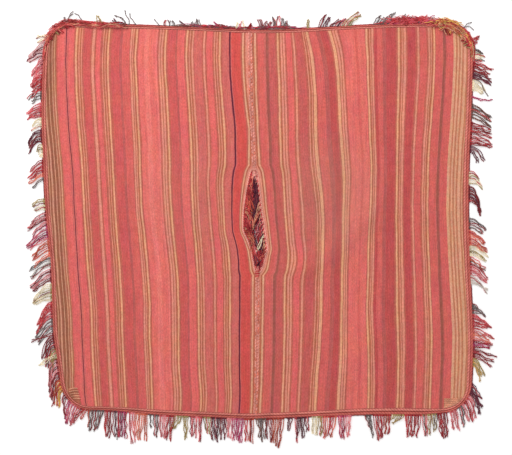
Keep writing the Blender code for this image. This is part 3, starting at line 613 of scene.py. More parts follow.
@dataclass(frozen=True)
class Profile:
    """A smooth line through a table of places and values, level past its two ends."""

    places: tuple
    values: tuple

    def at(self, wanted: np.ndarray) -> np.ndarray:
        """Read the line.

        Args:
            wanted: The places to read it at.

        Returns:
            Its values there.
        """
        order = np.argsort(self.places)
        keys = np.array(self.places, float)[order]
        values = np.array(self.values, float)[order]
        steps = np.arange(len(keys))
        before = np.maximum(steps - 1, 0)
        after = np.minimum(steps + 1, len(keys) - 1)
        slopes = (values[after] - values[before]) / (keys[after] - keys[before])
        wanted = np.clip(np.asarray(wanted, float), keys[0], keys[-1])
        high = np.clip(np.searchsorted(keys, wanted), 1, len(keys) - 1)
        low = high - 1
        span = keys[high] - keys[low]
        t = (wanted - keys[low]) / span
        ease = t * t * (3.0 - 2.0 * t)
        pull = slopes[low] * span * t * (1.0 - t) ** 2 + slopes[high] * span * t * t * (t - 1.0)
        return values[low] + (values[high] - values[low]) * ease + pull


def profile(rows: tuple, column: int) -> Profile:
    """The smooth line through one column of a table, read by the table's first column."""
    return Profile(tuple(row[0] for row in rows), tuple(row[column] for row in rows))


def ease_in(value: np.ndarray) -> np.ndarray:
    """Smooth step from 0 to 1."""
    value = np.clip(value, 0.0, 1.0)
    return value * value * (3.0 - 2.0 * value)


def side_word(side: int) -> str:
    """Word for a side: -1 is left, 1 is right."""
    return "left" if side < 0 else "right"


def unit(vectors: np.ndarray) -> np.ndarray:
    """The directions of vectors, each with a length of 1."""
    return vectors / np.maximum(np.linalg.norm(vectors, axis=-1, keepdims=True), 1e-9)


def quarter_turn(vectors: np.ndarray) -> np.ndarray:
    """Flat vectors turned a quarter turn to the left."""
    return np.stack((-vectors[..., 1], vectors[..., 0]), axis=-1)


def running_length(line: np.ndarray) -> np.ndarray:
    """The distance along a line of each of its points."""
    return np.concatenate(([0.0], np.cumsum(np.linalg.norm(np.diff(line, axis=0), axis=1))))


def raised(flat: np.ndarray, height: object) -> np.ndarray:
    """Points on the floor lifted to one height, or each to its own."""
    return np.concatenate((flat, np.broadcast_to(height, len(flat))[:, None]), axis=1)


@dataclass
class Path:
    """A line on the floor, with its distance along and its outward directions."""

    points: np.ndarray
    side: int

    def __post_init__(self) -> None:
        """Measure the line once."""
        self.along = running_length(self.points)
        tangents = np.gradient(self.points, self.along, axis=0)
        self.normals = unit(quarter_turn(tangents) * self.side)

    @property
    def length(self) -> float:
        """The line's whole length."""
        return float(self.along[-1])

    def between(self, pairs: np.ndarray, along: np.ndarray) -> np.ndarray:
        """Pairs of values that belong to the line's points, read at distances along it."""
        return np.stack([np.interp(along, self.along, column) for column in pairs.T], axis=-1)

    def at(self, along: np.ndarray, out: np.ndarray | float = 0.0) -> np.ndarray:
        """Points at distances along the line, moved so far outwards from it."""
        out = np.asarray(out, float)[..., None]
        return self.between(self.points, along) + self.outward(along) * out

    def outward(self, along: np.ndarray) -> np.ndarray:
        """Unit outward directions at distances along the line."""
        return unit(self.between(self.normals, along))

    def nearest(self, x: float, y: float) -> float:
        """Distance along the line of the point on it that is nearest to x and y."""
        return float(self.along[np.argmin(np.hypot(*(self.points - (x, y)).T))])


@dataclass
class ClothPlan:
    """How the opened-out cloth lies: its edges, seam, neck slit, ridges and creases."""

    panel_width: float = 600.0
    corner_radius: float = 84.0
    thickness: float = 2.0
    piece_gap: float = 0.3
    binding_width: float = 10.0
    side_overlap: tuple = (3.0, 6.0)
    neck_spread: float = 62.0
    seam_margin: float = 45.0
    edge_margin: float = 60.0
    cockle_margin: float = 26.0
    tack_width: float = 13.0
    tack_length: float = 21.0
    cockle_height: float = 0.45
    corner_steps: int = 24
    hem_steps: int = 130
    side_steps: int = 219
    crease_steps: int = 60
    shift_x: float = 0.0
    shift_y: float = 0.0

    def __post_init__(self) -> None:
        """Read the tables once."""
        self.edges = {-1: profile(SIDE_ROWS, 1), 1: profile(SIDE_ROWS, 2)}
        self.hems = {"bottom": profile(HEM_ROWS, 1), "top": profile(HEM_ROWS, 2)}
        self.seam = profile(SEAM_ROWS, 1)
        self.neck = {-1: profile(NECK_ROWS, 1), 1: profile(NECK_ROWS, 2)}

    def settle_on_frame(self) -> None:
        """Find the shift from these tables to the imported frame, from the lower tack's box."""
        low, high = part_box("neck_tack_lower")
        tack_top = SLIT_BOTTOM - self.piece_gap
        rings = np.array([-0.5, -0.25, 0.25, 0.5]) * self.tack_length + tack_top - self.tack_length / 2
        halves = np.array([0.6, 1.0, 1.0, 0.6]) * self.tack_width / 2
        seam = self.seam.at(rings)
        middle = (np.min(seam - halves) + np.max(seam + halves)) / 2
        self.shift_x = (low.x + high.x) / 2 / MM - middle
        self.shift_y = high.y / MM - tack_top

    def outer_edge(self, side: int, y: np.ndarray) -> np.ndarray:
        """Where a panel's outer edge lies, inside the binding."""
        return self.edges[side].at(y) - side * (self.binding_width + self.piece_gap)

    def hem(self, which: str, x: np.ndarray, inset: np.ndarray) -> np.ndarray:
        """Height of a panel's lower or upper edge, with its rounded outer corner.

        Args:
            which: "bottom" or "top".
            x: Distances x.
            inset: Distances in from the outer edge.

        Returns:
            Heights y.
        """
        inward = 1.0 if which == "bottom" else -1.0
        level = self.hems[which].at(x) + inward * (self.binding_width + self.piece_gap)
        radius = self.corner_radius - self.binding_width
        depth = np.clip(radius - inset, 0.0, radius)
        return level + inward * (radius - np.sqrt(radius ** 2 - depth ** 2))

    def lift(self, x: np.ndarray, y: np.ndarray) -> np.ndarray:
        """Height at which the cloth's underside stands off the table on its ridges.

        Args:
            x: Distances x.
            y: Heights y.

        Returns:
            A height in millimetres for each place.
        """
        total = np.zeros_like(x)
        for middle_x, middle_y, length, width, height, lean in RIDGE_ROWS:
            turn = math.radians(lean)
            along = (y - middle_y) * math.cos(turn) + (x - middle_x) * math.sin(turn)
            across = (x - middle_x) * math.cos(turn) - (y - middle_y) * math.sin(turn)
            held = (np.abs(along) < length / 2) & (np.abs(across) < width / 2)
            shape = np.cos(np.pi * along / length) ** 2 * np.cos(np.pi * across / width) ** 2
            total += np.where(held, height * shape, 0.0)
        return total

    def crease_lift(self, x: np.ndarray, y: np.ndarray) -> np.ndarray:
        """Height that the creases add: each falls off fast on one flank and slowly on the other.

        Args:
            x: Distances x.
            y: Heights y.

        Returns:
            A height in millimetres for each place.
        """
        total = np.zeros_like(x)
        for crease in CREASES:
            line = Path(np.array(crease.line, float), 1)
            fine = np.linspace(0.0, line.length, self.crease_steps)
            spine = line.at(fine)
            spine_normals = line.outward(fine)
            offsets = np.stack((x, y), axis=-1)[:, None, :] - spine[None, :, :]
            nearest = np.argmin(np.einsum("ijk,ijk->ij", offsets, offsets), axis=1)
            picked = offsets[np.arange(len(x)), nearest]
            across = np.einsum("ij,ij->i", picked, spine_normals[nearest])
            far = np.linalg.norm(picked, axis=1)
            width = np.where(across < 0.0, crease.steep, crease.gentle)
            share = fine[nearest] / line.length
            ends = ease_in(share * 4.0) * ease_in((1.0 - share) * 4.0)
            total += crease.height * ends * np.exp(-((far / width) ** 2))
        return total

    def cockle(self, x: np.ndarray, y: np.ndarray) -> np.ndarray:
        """The slight unevenness of hand-woven cloth, in long waves along the warp.

        Args:
            x: Distances x.
            y: Heights y.

        Returns:
            A height in millimetres for each place.
        """
        wave = np.sin(x / 7.1 + 1.6 * np.sin(y / 83.0)) * np.sin(y / 47.0 + x / 61.0)
        slow = np.sin(x / 19.0 + 2.1 * np.sin(y / 131.0)) * np.cos(y / 67.0 - x / 45.0)
        return self.cockle_height * (1.0 + 0.45 * wave + 0.55 * slow)

    def points(self, side: int, inset: np.ndarray, height: np.ndarray) -> np.ndarray:
        """Points of a panel's underside.

        Args:
            side: -1 for left, 1 for right.
            inset: Shares of the width, from 0 at the outer edge to 1 at the seam.
            height: Shares of the height, from 0 at the hem to 1 at the shoulder edge.

        Returns:
            An array of x, y and z.
        """
        zero = np.zeros(1)
        start, end = self.outer_edge(side, zero)[0], self.seam.at(zero)[0]
        nominal = start + (end - start) * inset
        depth = inset * self.panel_width
        bottom = self.hem("bottom", nominal, depth)
        top = self.hem("top", nominal, depth)
        y = bottom + (top - bottom) * height
        outer = self.outer_edge(side, y)
        inner = self.seam.at(y) + side * self.piece_gap / 2
        x = outer + (inner - outer) * inset
        from_seam = (1.0 - inset) * self.panel_width
        draw = np.maximum(self.neck[side].at(y), 0.0)
        x = x + side * draw * np.exp(-from_seam / self.neck_spread)
        calm = ease_in((from_seam - self.seam_margin) / self.edge_margin)
        calm = calm * ease_in(depth / self.edge_margin)
        calm = calm * ease_in((y - bottom) / self.edge_margin)
        calm = calm * ease_in((top - y) / self.edge_margin)
        near = ease_in(np.minimum(depth, np.minimum(y - bottom, top - y)) / self.cockle_margin)
        near = near * ease_in(from_seam / self.cockle_margin)
        z = (self.lift(x, y) + self.crease_lift(x, y)) * calm + self.cockle(x, y) * near
        return np.stack((x, y, z), axis=-1)

    def sway(self, side: int, inset: np.ndarray, y: np.ndarray) -> np.ndarray:
        """How far towards +X the warp has been drawn aside from lying evenly spaced.

        Args:
            side: -1 for left, 1 for right.
            inset: Shares of the width, from the outer edge.
            y: Heights.

        Returns:
            A distance in millimetres for each place.
        """
        total = np.zeros_like(inset)
        for pull in PULLS[side]:
            off = ((inset - pull.inset) / pull.across) ** 2 + ((y - pull.y) / pull.along) ** 2
            total += pull.aside * np.exp(-off)
        return total

    def column_shares(self, corner: int, plain: int) -> np.ndarray:
        """Insets of a panel's columns: close together round the corner, then even.

        Args:
            corner: How many columns go round the corner.
            plain: How many follow.

        Returns:
            Shares of the width, from the outer edge.
        """
        first = (self.corner_radius - self.binding_width) / self.panel_width
        angles = np.pi / 2 * np.arange(corner) / corner
        return np.concatenate((first * (1.0 - np.cos(angles)), np.linspace(first, 1.0, plain + 1)))

    def outline(self, side: int) -> Path:
        """A panel's edge from the seam over the top, down the side and back along the hem.

        Args:
            side: -1 for left, 1 for right.

        Returns:
            The edge, as a line on the floor.
        """
        shares = self.column_shares(self.corner_steps, self.hem_steps)
        rows = np.linspace(1.0, 0.0, self.side_steps + 2)[1:-1]
        over = self.points(side, shares[::-1], np.ones_like(shares))
        down = self.points(side, np.zeros_like(rows), rows)
        back = self.points(side, shares, np.zeros_like(shares))
        return Path(np.concatenate((over, down, back))[:, :2], side)

    def binding_reach(self, side: int, line: Path, along: np.ndarray) -> tuple:
        """How far the binding reaches from a panel's edge.

        Args:
            side: -1 for left, 1 for right.
            line: The panel's outline.
            along: Distances along it.

        Returns:
            How far it reaches outwards, and how far inwards over the cloth.
        """
        lean = line.outward(along)
        hem = np.clip(-lean[:, 1], 0.0, 1.0) ** 2
        flank = np.clip(side * lean[:, 0], 0.0, 1.0) ** 6
        wider = hem * profile(HEM_BULGE, 1).at(line.at(along)[:, 0])
        return self.binding_width + wider, self.side_overlap[side > 0] * flank

    def slit(self, side: int, past: float = 0.0) -> Path:
        """The cloth's edge beside the neck slit, from the top down, and so far past its ends.

        Args:
            side: -1 for left, 1 for right.
            past: How far it runs on past each end.

        Returns:
            The edge, as a line on the floor.
        """
        y = np.linspace(SLIT_TOP + past, SLIT_BOTTOM - past, 97)
        x = self.seam.at(y) + side * (self.piece_gap / 2 + np.maximum(self.neck[side].at(y), 0.0))
        return Path(np.stack((x, y), axis=-1), side)

    def in_frame(self, points: np.ndarray) -> np.ndarray:
        """Table points in millimetres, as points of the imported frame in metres."""
        return (np.asarray(points) + (self.shift_x, self.shift_y, 0.0)) * MM


def linear(colour: str) -> tuple:
    """Turn an sRGB hex value into linear red, green, blue and alpha.

    Args:
        colour: Six hex digits.

    Returns:
        The four values, from 0 to 1.
    """
    parts = [int(colour[index : index + 2], 16) / 255.0 for index in (0, 2, 4)]
    bent = [part / 12.92 if part <= 0.04045 else ((part + 0.055) / 1.055) ** 2.4 for part in parts]
    return (*bent, 1.0)


def add_node(
    tree: NodeTree, kind: str, settings: dict | None = None, inputs: dict | None = None
) -> Node:
    """Add a shader node.

    Args:
        tree: The node tree it goes into.
        kind: Its type's name after "ShaderNode".
        settings: Its properties by name.
        inputs: Values or sockets for its inputs, by name or number.

    Returns:
        The new node.
    """
    node = tree.nodes.new(f"ShaderNode{kind}")
    for name, value in (settings or {}).items():
        setattr(node, name, value)
    for key, value in (inputs or {}).items():
        if isinstance(value, NodeSocket):
            tree.links.new(value, node.inputs[key])
        else:
            node.inputs[key].default_value = value
    return node


def combine(tree: NodeTree, operation: str, *values: object) -> NodeSocket:
    """Work out one number from one to three others with a Math node."""
    inputs = dict(enumerate(values))
    return add_node(tree, "Math", {"operation": operation}, inputs).outputs[0]


def mix_colour(
    tree: NodeTree, blend: str, share: object, first: object, second: object
) -> NodeSocket:
    """Blend two colours by a share with a Mix node, and give back its colour."""
    settings = {"data_type": "RGBA", "blend_type": blend}
    return add_node(tree, "Mix", settings, {0: share, 6: first, 7: second}).outputs[2]


def noise(tree: NodeTree, vector: object, scale: float, detail: float) -> NodeSocket:
    """Smooth noise from 0 to 1 round a half."""
    inputs = {"Vector": vector, "Scale": scale, "Detail": detail, "Roughness": 0.6}
    return add_node(tree, "TexNoise", None, inputs).outputs["Fac"]


def ranged(
    tree: NodeTree, value: object, low: float, high: float, start: float = 0.25, end: float = 0.75
) -> NodeSocket:
    """Stretch a value's span from start to end over low to high."""
    inputs = {0: value, 1: start, 2: end, 3: low, 4: high}
    return add_node(tree, "MapRange", None, inputs).outputs[0]


def stretched_noise(
    tree: NodeTree, cloth: object, across: float, along: float, detail: float
) -> NodeSocket:
    """Smooth noise with so many waves in a metre of cloth, across the warp and along it."""
    spread = add_node(tree, "Mapping", None, {"Vector": cloth, "Scale": (across, along, 1.0)})
    return noise(tree, spread.outputs[0], 1.0, detail)


def wound(tree: NodeTree, surface: object, pitch: float, winds: float) -> NodeSocket:
    """Waves from 0 to 1 that wind round a yarn.

    Args:
        tree: The node tree that they go into.
        surface: The node that parts the yarn's surface coordinates.
        pitch: How far apart they are along it, in millimetres.
        winds: How many there are round it.

    Returns:
        The waves.
    """
    turns = combine(tree, "MULTIPLY", surface.outputs[0], 2 * math.pi * YARN_SPAN / pitch)
    around = combine(tree, "MULTIPLY", surface.outputs[1], 2 * math.pi * winds)
    wave = combine(tree, "SINE", combine(tree, "ADD", turns, around))
    return combine(tree, "MULTIPLY_ADD", wave, 0.5, 0.5)


def ramp(
    tree: NodeTree, place: object, interpolation: str, marks: object
) -> NodeSocket:
    """Read a colour off a row of dyes.

    Args:
        tree: The node tree that the row goes into.
        place: The share of the row at which it is read.
        interpolation: How one dye gives way to the next.
        marks: Where each dye starts, as a share of the row, and the dye.

    Returns:
        The colour there.
    """
    made = add_node(tree, "ValToRGB", None, {"Fac": place})
    stops = made.color_ramp
    stops.interpolation = interpolation
    stops.elements.remove(stops.elements[1])
    for index, (share, dye) in enumerate(marks):
        stop = stops.elements[0] if index == 0 else stops.elements.new(share)
        stop.position = share
        stop.color = linear(dye.value)
    return made.outputs["Color"]


def shaded(tree: NodeTree, colour: object, shade: object, *others: object) -> NodeSocket:
    """Lighten and darken a colour by one shade after another, where 1 leaves it alone.

    Args:
        tree: The material's node tree.
        colour: The colour.
        shade: The first shade.
        *others: The other shades.

    Returns:
        The shaded colour.
    """
    for other in others:
        shade = combine(tree, "MULTIPLY", shade, other)
    grey = add_node(tree, "CombineColor", None, {0: shade, 1: shade, 2: shade}).outputs[0]
    return mix_colour(tree, "MULTIPLY", 1.0, colour, grey)


def tinted(
    tree: NodeTree, colour: object, share: object, first: tuple, second: tuple
) -> NodeSocket:
    """Lean a colour from a first tint to a second, each as its red, green and blue."""
    tint = mix_colour(tree, "MIX", share, (*first, 1.0), (*second, 1.0))
    return mix_colour(tree, "MULTIPLY", 1.0, colour, tint)


def wool_shader(tree: NodeTree, colour: object, bump: object) -> None:
    """Finish a tree as matt wool: a rough surface in relief, with hardly a gloss.

    Args:
        tree: The material's node tree.
        colour: The colour socket.
        bump: The height socket, from 0 to 1.
    """
    shader = tree.nodes["Principled BSDF"]
    relief = add_node(tree, "Bump", None, {"Strength": 0.6, "Distance": RELIEF * MM, "Height": bump})
    tree.links.new(colour, shader.inputs["Base Color"])
    tree.links.new(relief.outputs["Normal"], shader.inputs["Normal"])
    shader.inputs["Roughness"].default_value = 0.92
    shader.inputs["Metallic"].default_value = 0.0
    shader.inputs["IOR"].default_value = 1.54
    shader.inputs["Specular IOR Level"].default_value = 0.05


def new_material(name: str) -> Material:
    """An empty material with nodes.

    Args:
        name: Its name.

    Returns:
        The material.
    """
    made = bpy.data.materials.new(name)
    made.use_nodes = True
    return made


@dataclass(frozen=True)
class WarpFacedCloth:
    """Alpaca and sheep's wool, dyed in the yarn and woven warp-faced on a backstrap loom.

    The weft hardly shows: the eye meets narrow warp stripes with slightly wandering edges,
    fine lengthwise streaks where one yarn took more dye than the next, and a dry, matt face.
    """

    name: str
    chart: tuple
    width: float
    length: float
    margin: float = 18.0
    edge_darkening: float = 0.0
    faded: float = 0.0
    wander: float = 5.0
    rib: float = 1.6
    ramp_stops: int = 30

    def share(self, start: float) -> float:
        """A distance in from the outer edge, as a share of the width and its hidden margin."""
        return (start + self.margin) / (self.width + self.margin)

    def lines(self) -> list:
        """Every stripe as its start in millimetres and its dye, in order from the outer edge.

        Returns:
            The starts with their dyes.
        """
        found = []
        for row in self.chart:
            place = row.start
            drawn = sum(width for _, width in row.motif.value)
            for dye, width in row.motif.value:
                found.append((place, dye))
                place += width * row.width / drawn
            found.append((place, row.ground))
        return found

    def stripes(self, tree: NodeTree, place: object) -> NodeSocket:
        """Read the stripes' colours at a place across the panel, through a chain of ramps.

        Args:
            tree: The material's node tree.
            place: A share of the width with its hidden margin.

        Returns:
            The colour there.
        """
        lines = self.lines()
        colour = None
        for first in range(0, len(lines), self.ramp_stops):
            marks = [(self.share(start), dye) for start, dye in lines[first : first + self.ramp_stops]]
            following = ramp(tree, place, "CONSTANT", marks)
            if colour is None:
                colour = following
                continue
            past = combine(tree, "GREATER_THAN", place, marks[0][0])
            colour = mix_colour(tree, "MIX", past, colour, following)
        return colour

    def wandered(self, tree: NodeTree, cloth: object, across: object) -> NodeSocket:
        """Where the stripes are read, so that their edges wander as hand weaving does.

        Args:
            tree: The material's node tree.
            cloth: The place on the cloth, in metres.
            across: The share of the panel's width, from the outer edge.

        Returns:
            A share of the width with its hidden margin.
        """
        # By about a millimetre every few centimetres
        drift = combine(tree, "SUBTRACT", stretched_noise(tree, cloth, 26.0, 11.0, 3.0), 0.5)
        shift = combine(tree, "MULTIPLY", drift, self.wander / self.width)
        place = combine(tree, "ADD", across, shift)
        place = combine(tree, "MULTIPLY_ADD", place, self.width, self.margin)
        return combine(tree, "DIVIDE", place, self.width + self.margin)

    def shades(self, tree: NodeTree, cloth: object, place: object, speck: object) -> tuple:
        """How light or dark the wool is.

        Args:
            tree: The material's node tree.
            cloth: The place on the cloth, in metres.
            place: The node that parts the place on the panel, as shares.
            speck: The noise of single yarns and picks.

        Returns:
            The shades, to be laid one over another.
        """
        # Single warp yarns, about 2.4 mm apart, are streaked lengthwise over 60 to 100 mm
        streak = stretched_noise(tree, cloth, 420.0, 12.0, 2.0)
        slow = stretched_noise(tree, cloth, 90.0, 5.0, 2.0)
        patch = stretched_noise(tree, cloth, 60.0, 45.0, 2.0)
        # Darker along the outer edge beside the shoulder
        outer = ranged(tree, place.outputs[0], self.edge_darkening, 0.0, 0.06, 0.09)
        shoulder = ranged(tree, place.outputs[1], 0.0, 1.0, 0.72, 0.9)
        dark = combine(tree, "MULTIPLY", outer, shoulder)
        return (
            ranged(tree, streak, 0.86, 1.18),
            ranged(tree, slow, 0.93, 1.07),
            ranged(tree, speck, 0.82, 1.16),
            ranged(tree, patch, 0.91, 1.09),
            combine(tree, "SUBTRACT", 1.0, dark),
        )

    def material(self) -> Material:
        """Build the node material.

        Returns:
            The material.
        """
        made = new_material(self.name)
        tree = made.node_tree
        uv = add_node(tree, "TexCoord").outputs["UV"]
        place = add_node(tree, "SeparateXYZ", None, {0: uv})
        across = place.outputs[0]
        size = (self.width * MM, self.length * MM, 1.0)
        cloth = add_node(tree, "Mapping", None, {"Vector": uv, "Scale": size}).outputs[0]
        speck = stretched_noise(tree, cloth, 330.0, 170.0, 1.0)
        colour = self.stripes(tree, self.wandered(tree, cloth, across))
        colour = shaded(tree, colour, *self.shades(tree, cloth, place, speck))
        # The dye bath took unevenly: some lengths lean to orange, others to pink
        lean = ranged(tree, stretched_noise(tree, cloth, 34.0, 13.0, 2.0), 0.0, 1.0, 0.3, 0.7)
        colour = tinted(tree, colour, lean, (1.01, 1.07, 0.95), (0.99, 0.97, 1.07))
        # Finer clouds of paler and redder wool, 10 to 17 mm across
        cloud = ranged(tree, stretched_noise(tree, cloth, 95.0, 60.0, 2.0), 0.0, 1.0, 0.3, 0.7)
        colour = tinted(tree, colour, cloud, (0.97, 1.08, 1.07), (1.02, 0.93, 0.94))
        # Wear has greyed the cloth beside the neck
        neck = {"Vector": uv, "Location": (-2.7, -3.3, 0.0), "Scale": (4.2, 5.9, 1.0)}
        from_neck = add_node(tree, "Mapping", None, neck).outputs[0]
        away = add_node(tree, "VectorMath", {"operation": "LENGTH"}, {0: from_neck}).outputs["Value"]
        worn = ranged(tree, away, self.faded, 0.0, 0.5, 1.2)
        colour = mix_colour(tree, "MIX", worn, colour, linear(Dye.GREYED.value))
        # The warp's ribs are finer than the eye parts at a distance: relief, not colour
        rib = combine(tree, "SINE", combine(tree, "MULTIPLY", across, self.width * 2 * math.pi / self.rib))
        rib = combine(tree, "MULTIPLY_ADD", rib, 0.25, 0.5)
        bump = combine(tree, "ADD", combine(tree, "MULTIPLY", speck, 0.7), rib)
        wool_shader(tree, colour, bump)
        return made


@dataclass(frozen=True)
class PliedYarn:
    """Sheep's wool, hand-spun, dyed in the skein and plied: round, matt, with dark furrows.

    The furrows between the plies wind round each strand as painted shade, and the plies' crowns as painted
    highlight, over flecks and slow changes of dye.
    """

    dye: Dye
    ply_pitch: float = 7.0
    plies: float = 2.0
    furrow_shade: float = 0.72

    def material(self) -> Material:
        """Find or build the node material.

        Returns:
            The material, one for each dye.
        """
        name = f"plied_wool_{self.dye.name.lower()}"
        if name in bpy.data.materials:
            return bpy.data.materials[name]
        made = new_material(name)
        tree = made.node_tree
        coordinates = add_node(tree, "TexCoord")
        parts = add_node(tree, "SeparateXYZ", None, {0: coordinates.outputs["UV"]})
        ply = wound(tree, parts, self.ply_pitch, self.plies)
        # Flecks about 4 mm long, over changes of dye about 22 mm long
        fleck = noise(tree, coordinates.outputs["Object"], 260.0, 2.0)
        slow = noise(tree, coordinates.outputs["Object"], 46.0, 1.0)
        # Painted shade in the furrows between the plies, painted highlight on their crowns
        ply_shading = ranged(tree, ply, self.furrow_shade, 1.12, 0.0, 0.6)
        flecked = ranged(tree, fleck, 0.84, 1.14)
        uneven = ranged(tree, slow, 0.70, 1.28)
        colour = shaded(tree, linear(self.dye.value), ply_shading, flecked, uneven)
        bump = combine(tree, "MULTIPLY_ADD", ply, 0.7, combine(tree, "MULTIPLY", fleck, 0.3))
        wool_shader(tree, colour, bump)
        return made


@dataclass(frozen=True)
class TubularBinding:
    """Wool band woven straight on to the edge with a needle: two ribs of slanting stitches.

    It shows as a double beaded cord, the outer rib redder, with painted shade in the groove between the two.
    """

    name: str = "tubular_band_rose_wool"
    bead_pitch: float = 9.0
    slant: float = 2.6
    # How light the band is all over
    worn: float = 1.0

    def material(self) -> Material:
        """Build the node material.

        Returns:
            The material.
        """
        made = new_material(self.name)
        tree = made.node_tree
        coordinates = add_node(tree, "TexCoord")
        parts = add_node(tree, "SeparateXYZ", None, {0: coordinates.outputs["UV"]})
        # The groove colour at the inner edge and between the ribs is painted shade, and the oxblood over the
        # outer flank and underside is painted shade too
        marks = (
            (0.00, Dye.GROOVE_SHADE), (0.03, Dye.GROOVE_SHADE), (0.09, Dye.BINDING), (0.29, Dye.BINDING),
            (0.34, Dye.GROOVE_SHADE), (0.41, Dye.GROOVE_SHADE), (0.47, Dye.BINDING_RED),
            (0.66, Dye.BINDING_RED), (0.75, Dye.OXBLOOD),
        )
        ribs = ramp(tree, parts.outputs[1], "LINEAR", marks)
        bead = wound(tree, parts, self.bead_pitch, self.slant)
        # Flecks about 4 mm long, over lighter and darker lengths of about 45 mm
        fleck = noise(tree, coordinates.outputs["Object"], 230.0, 2.0)
        slow = noise(tree, coordinates.outputs["Object"], 22.0, 2.0)
        # Painted shade between the beads and painted highlight on them
        beaded = ranged(tree, bead, 0.72, 1.14, 0.0, 0.5)
        flecked = ranged(tree, fleck, 0.78, 1.18)
        uneven = ranged(tree, slow, 0.80 * self.worn, 1.16 * self.worn)
        colour = shaded(tree, ribs, beaded, flecked, uneven)
        bump = combine(tree, "MULTIPLY_ADD", bead, 0.7, combine(tree, "MULTIPLY", fleck, 0.3))
        wool_shader(tree, colour, bump)
        return made


def grid_object(name: str, columns: int, rows: int) -> Object:
    """A unit grid to be laid out, as a new object of its own name.

    Args:
        name: Its name, and its mesh's.
        columns: How many faces it has in x.
        rows: How many it has in y.

    Returns:
        The grid, active and selected.
    """
    bpy.ops.object.select_all(action="DESELECT")
    bpy.ops.mesh.primitive_grid_add(x_subdivisions=columns, y_subdivisions=rows, size=1.0)
    made = bpy.context.object
    made.name = name
    made.data.name = name
    return made


def grid_shares(made: Object) -> np.ndarray:
    """Each vertex's place on a unit grid, from 0 to 1 in x and y.

    Args:
        made: The grid's object.

    Returns:
        A pair of shares for each vertex.
    """
    flat = np.zeros(len(made.data.vertices) * 3)
    made.data.vertices.foreach_get("co", flat)
    return flat.reshape(-1, 3)[:, :2] + 0.5


def set_grid(made: Object, places: np.ndarray, uv: np.ndarray) -> None:
    """Lay a grid out.

    Args:
        made: The grid's object.
        places: A place in metres for each vertex.
        uv: A pair of surface coordinates for each vertex.
    """
    data = made.data
    data.vertices.foreach_set("co", np.asarray(places, float).ravel())
    corners = np.zeros(len(data.loops), int)
    data.loops.foreach_get("vertex_index", corners)
    data.uv_layers.active.data.foreach_set("uv", uv[corners].ravel())
    data.update()


def place_object(name: str, data: ID) -> Object:
    """Put new data into the scene as an object.

    Args:
        name: Its name.
        data: Its mesh, lamp or camera.

    Returns:
        The new object.
    """
    made = bpy.data.objects.new(name, data)
    bpy.context.scene.collection.objects.link(made)
    return made


def thicken(made: Object, thickness: float) -> None:
    """Give the active sheet its thickness, upwards, and smooth its faces but not its rim.

    Args:
        made: The sheet's object.
        thickness: How thick it becomes, in millimetres.
    """
    wall = made.modifiers.new("thickness", "SOLIDIFY")
    wall.thickness = thickness * MM
    wall.offset = 1.0
    bpy.ops.object.modifier_apply(modifier=wall.name)
    bpy.ops.object.shade_smooth_by_angle(angle=SHEET_ANGLE)


def seat(made: Object, slot: str, *nodes: str) -> Object:
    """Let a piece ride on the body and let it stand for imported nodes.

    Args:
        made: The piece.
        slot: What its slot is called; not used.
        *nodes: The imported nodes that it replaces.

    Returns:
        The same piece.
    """
    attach(made, BODY)
    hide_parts(*nodes)
    return made


@dataclass
class YarnWork:
    """Gathers round yarns into one joined mesh, made from arrays."""

    name: str
    plan: ClothPlan
    sides: int = 4
    points: list = field(default_factory=list)
    faces: list = field(default_factory=list)
    surface: list = field(default_factory=list)
    finishes: list = field(default_factory=list)
    dyes: dict = field(default_factory=dict)
    count: int = 0

    def finish_index(self, dye: Dye) -> int:
        """The place of a dye's material among the mesh's."""
        return self.dyes.setdefault(dye, len(self.dyes))

    def lay(self, line: np.ndarray, wide: object, tall: object, dye: Dye, sides: int = 0) -> None:
        """Lay one yarn.

        Args:
            line: Its centreline, as x, y and z in millimetres.
            wide: Its half width, one number or one for each point.
            tall: Its half height, likewise.
            dye: Its colour.
            sides: The corners of its section, or 0 for the usual number.
        """
        sides = sides or self.sides
        steps = len(line)
        tangent = unit(np.gradient(line, axis=0))
        beside = np.cross(UP, tangent)
        upright = np.linalg.norm(beside, axis=1, keepdims=True) < 1e-4
        beside = np.where(upright, (1.0, 0.0, 0.0), unit(beside))
        upward = np.cross(tangent, beside)
        angle = 2 * np.pi * np.arange(sides) / sides + np.pi / sides
        wide = np.broadcast_to(np.asarray(wide, float), steps)
        tall = np.broadcast_to(np.asarray(tall, float), steps)
        flank = beside[:, None, :] * np.cos(angle)[None, :, None] * wide[:, None, None]
        crown = upward[:, None, :] * np.sin(angle)[None, :, None] * tall[:, None, None]
        self.points.append((line[:, None, :] + flank + crown).reshape(-1, 3))
        length = running_length(line) / YARN_SPAN
        index = self.finish_index(dye)
        for step in range(steps - 1):
            start = self.count + step * sides
            for corner in range(sides):
                after = (corner + 1) % sides
                lower, upper = start + corner, start + after
                self.faces.append((lower, upper, upper + sides, lower + sides))
                low, high = corner / sides, (corner + 1) / sides
                near, far = length[step], length[step + 1]
                self.surface += [near, low, near, high, far, high, far, low]
                self.finishes.append(index)
        for ring, order in ((0, -1), (steps - 1, 1)):
            start = self.count + ring * sides
            self.faces.append(tuple(range(start, start + sides))[::order])
            self.surface += [length[ring], 0.5] * sides
            self.finishes.append(index)
        self.count += steps * sides

    def build(self) -> Object:
        """Make the joined mesh and dress it in its yarns.

        Returns:
            The new object.
        """
        places = self.plan.in_frame(np.concatenate(self.points))
        data = bpy.data.meshes.new(self.name)
        data.from_pydata(places.tolist(), [], self.faces)
        data.uv_layers.new(name="UVMap")
        data.uv_layers.active.data.foreach_set("uv", self.surface)
        for dye in self.dyes:
            data.materials.append(PliedYarn(dye).material())
        data.polygons.foreach_set("material_index", self.finishes)
        data.shade_smooth()
        data.validate()
        return place_object(self.name, data)


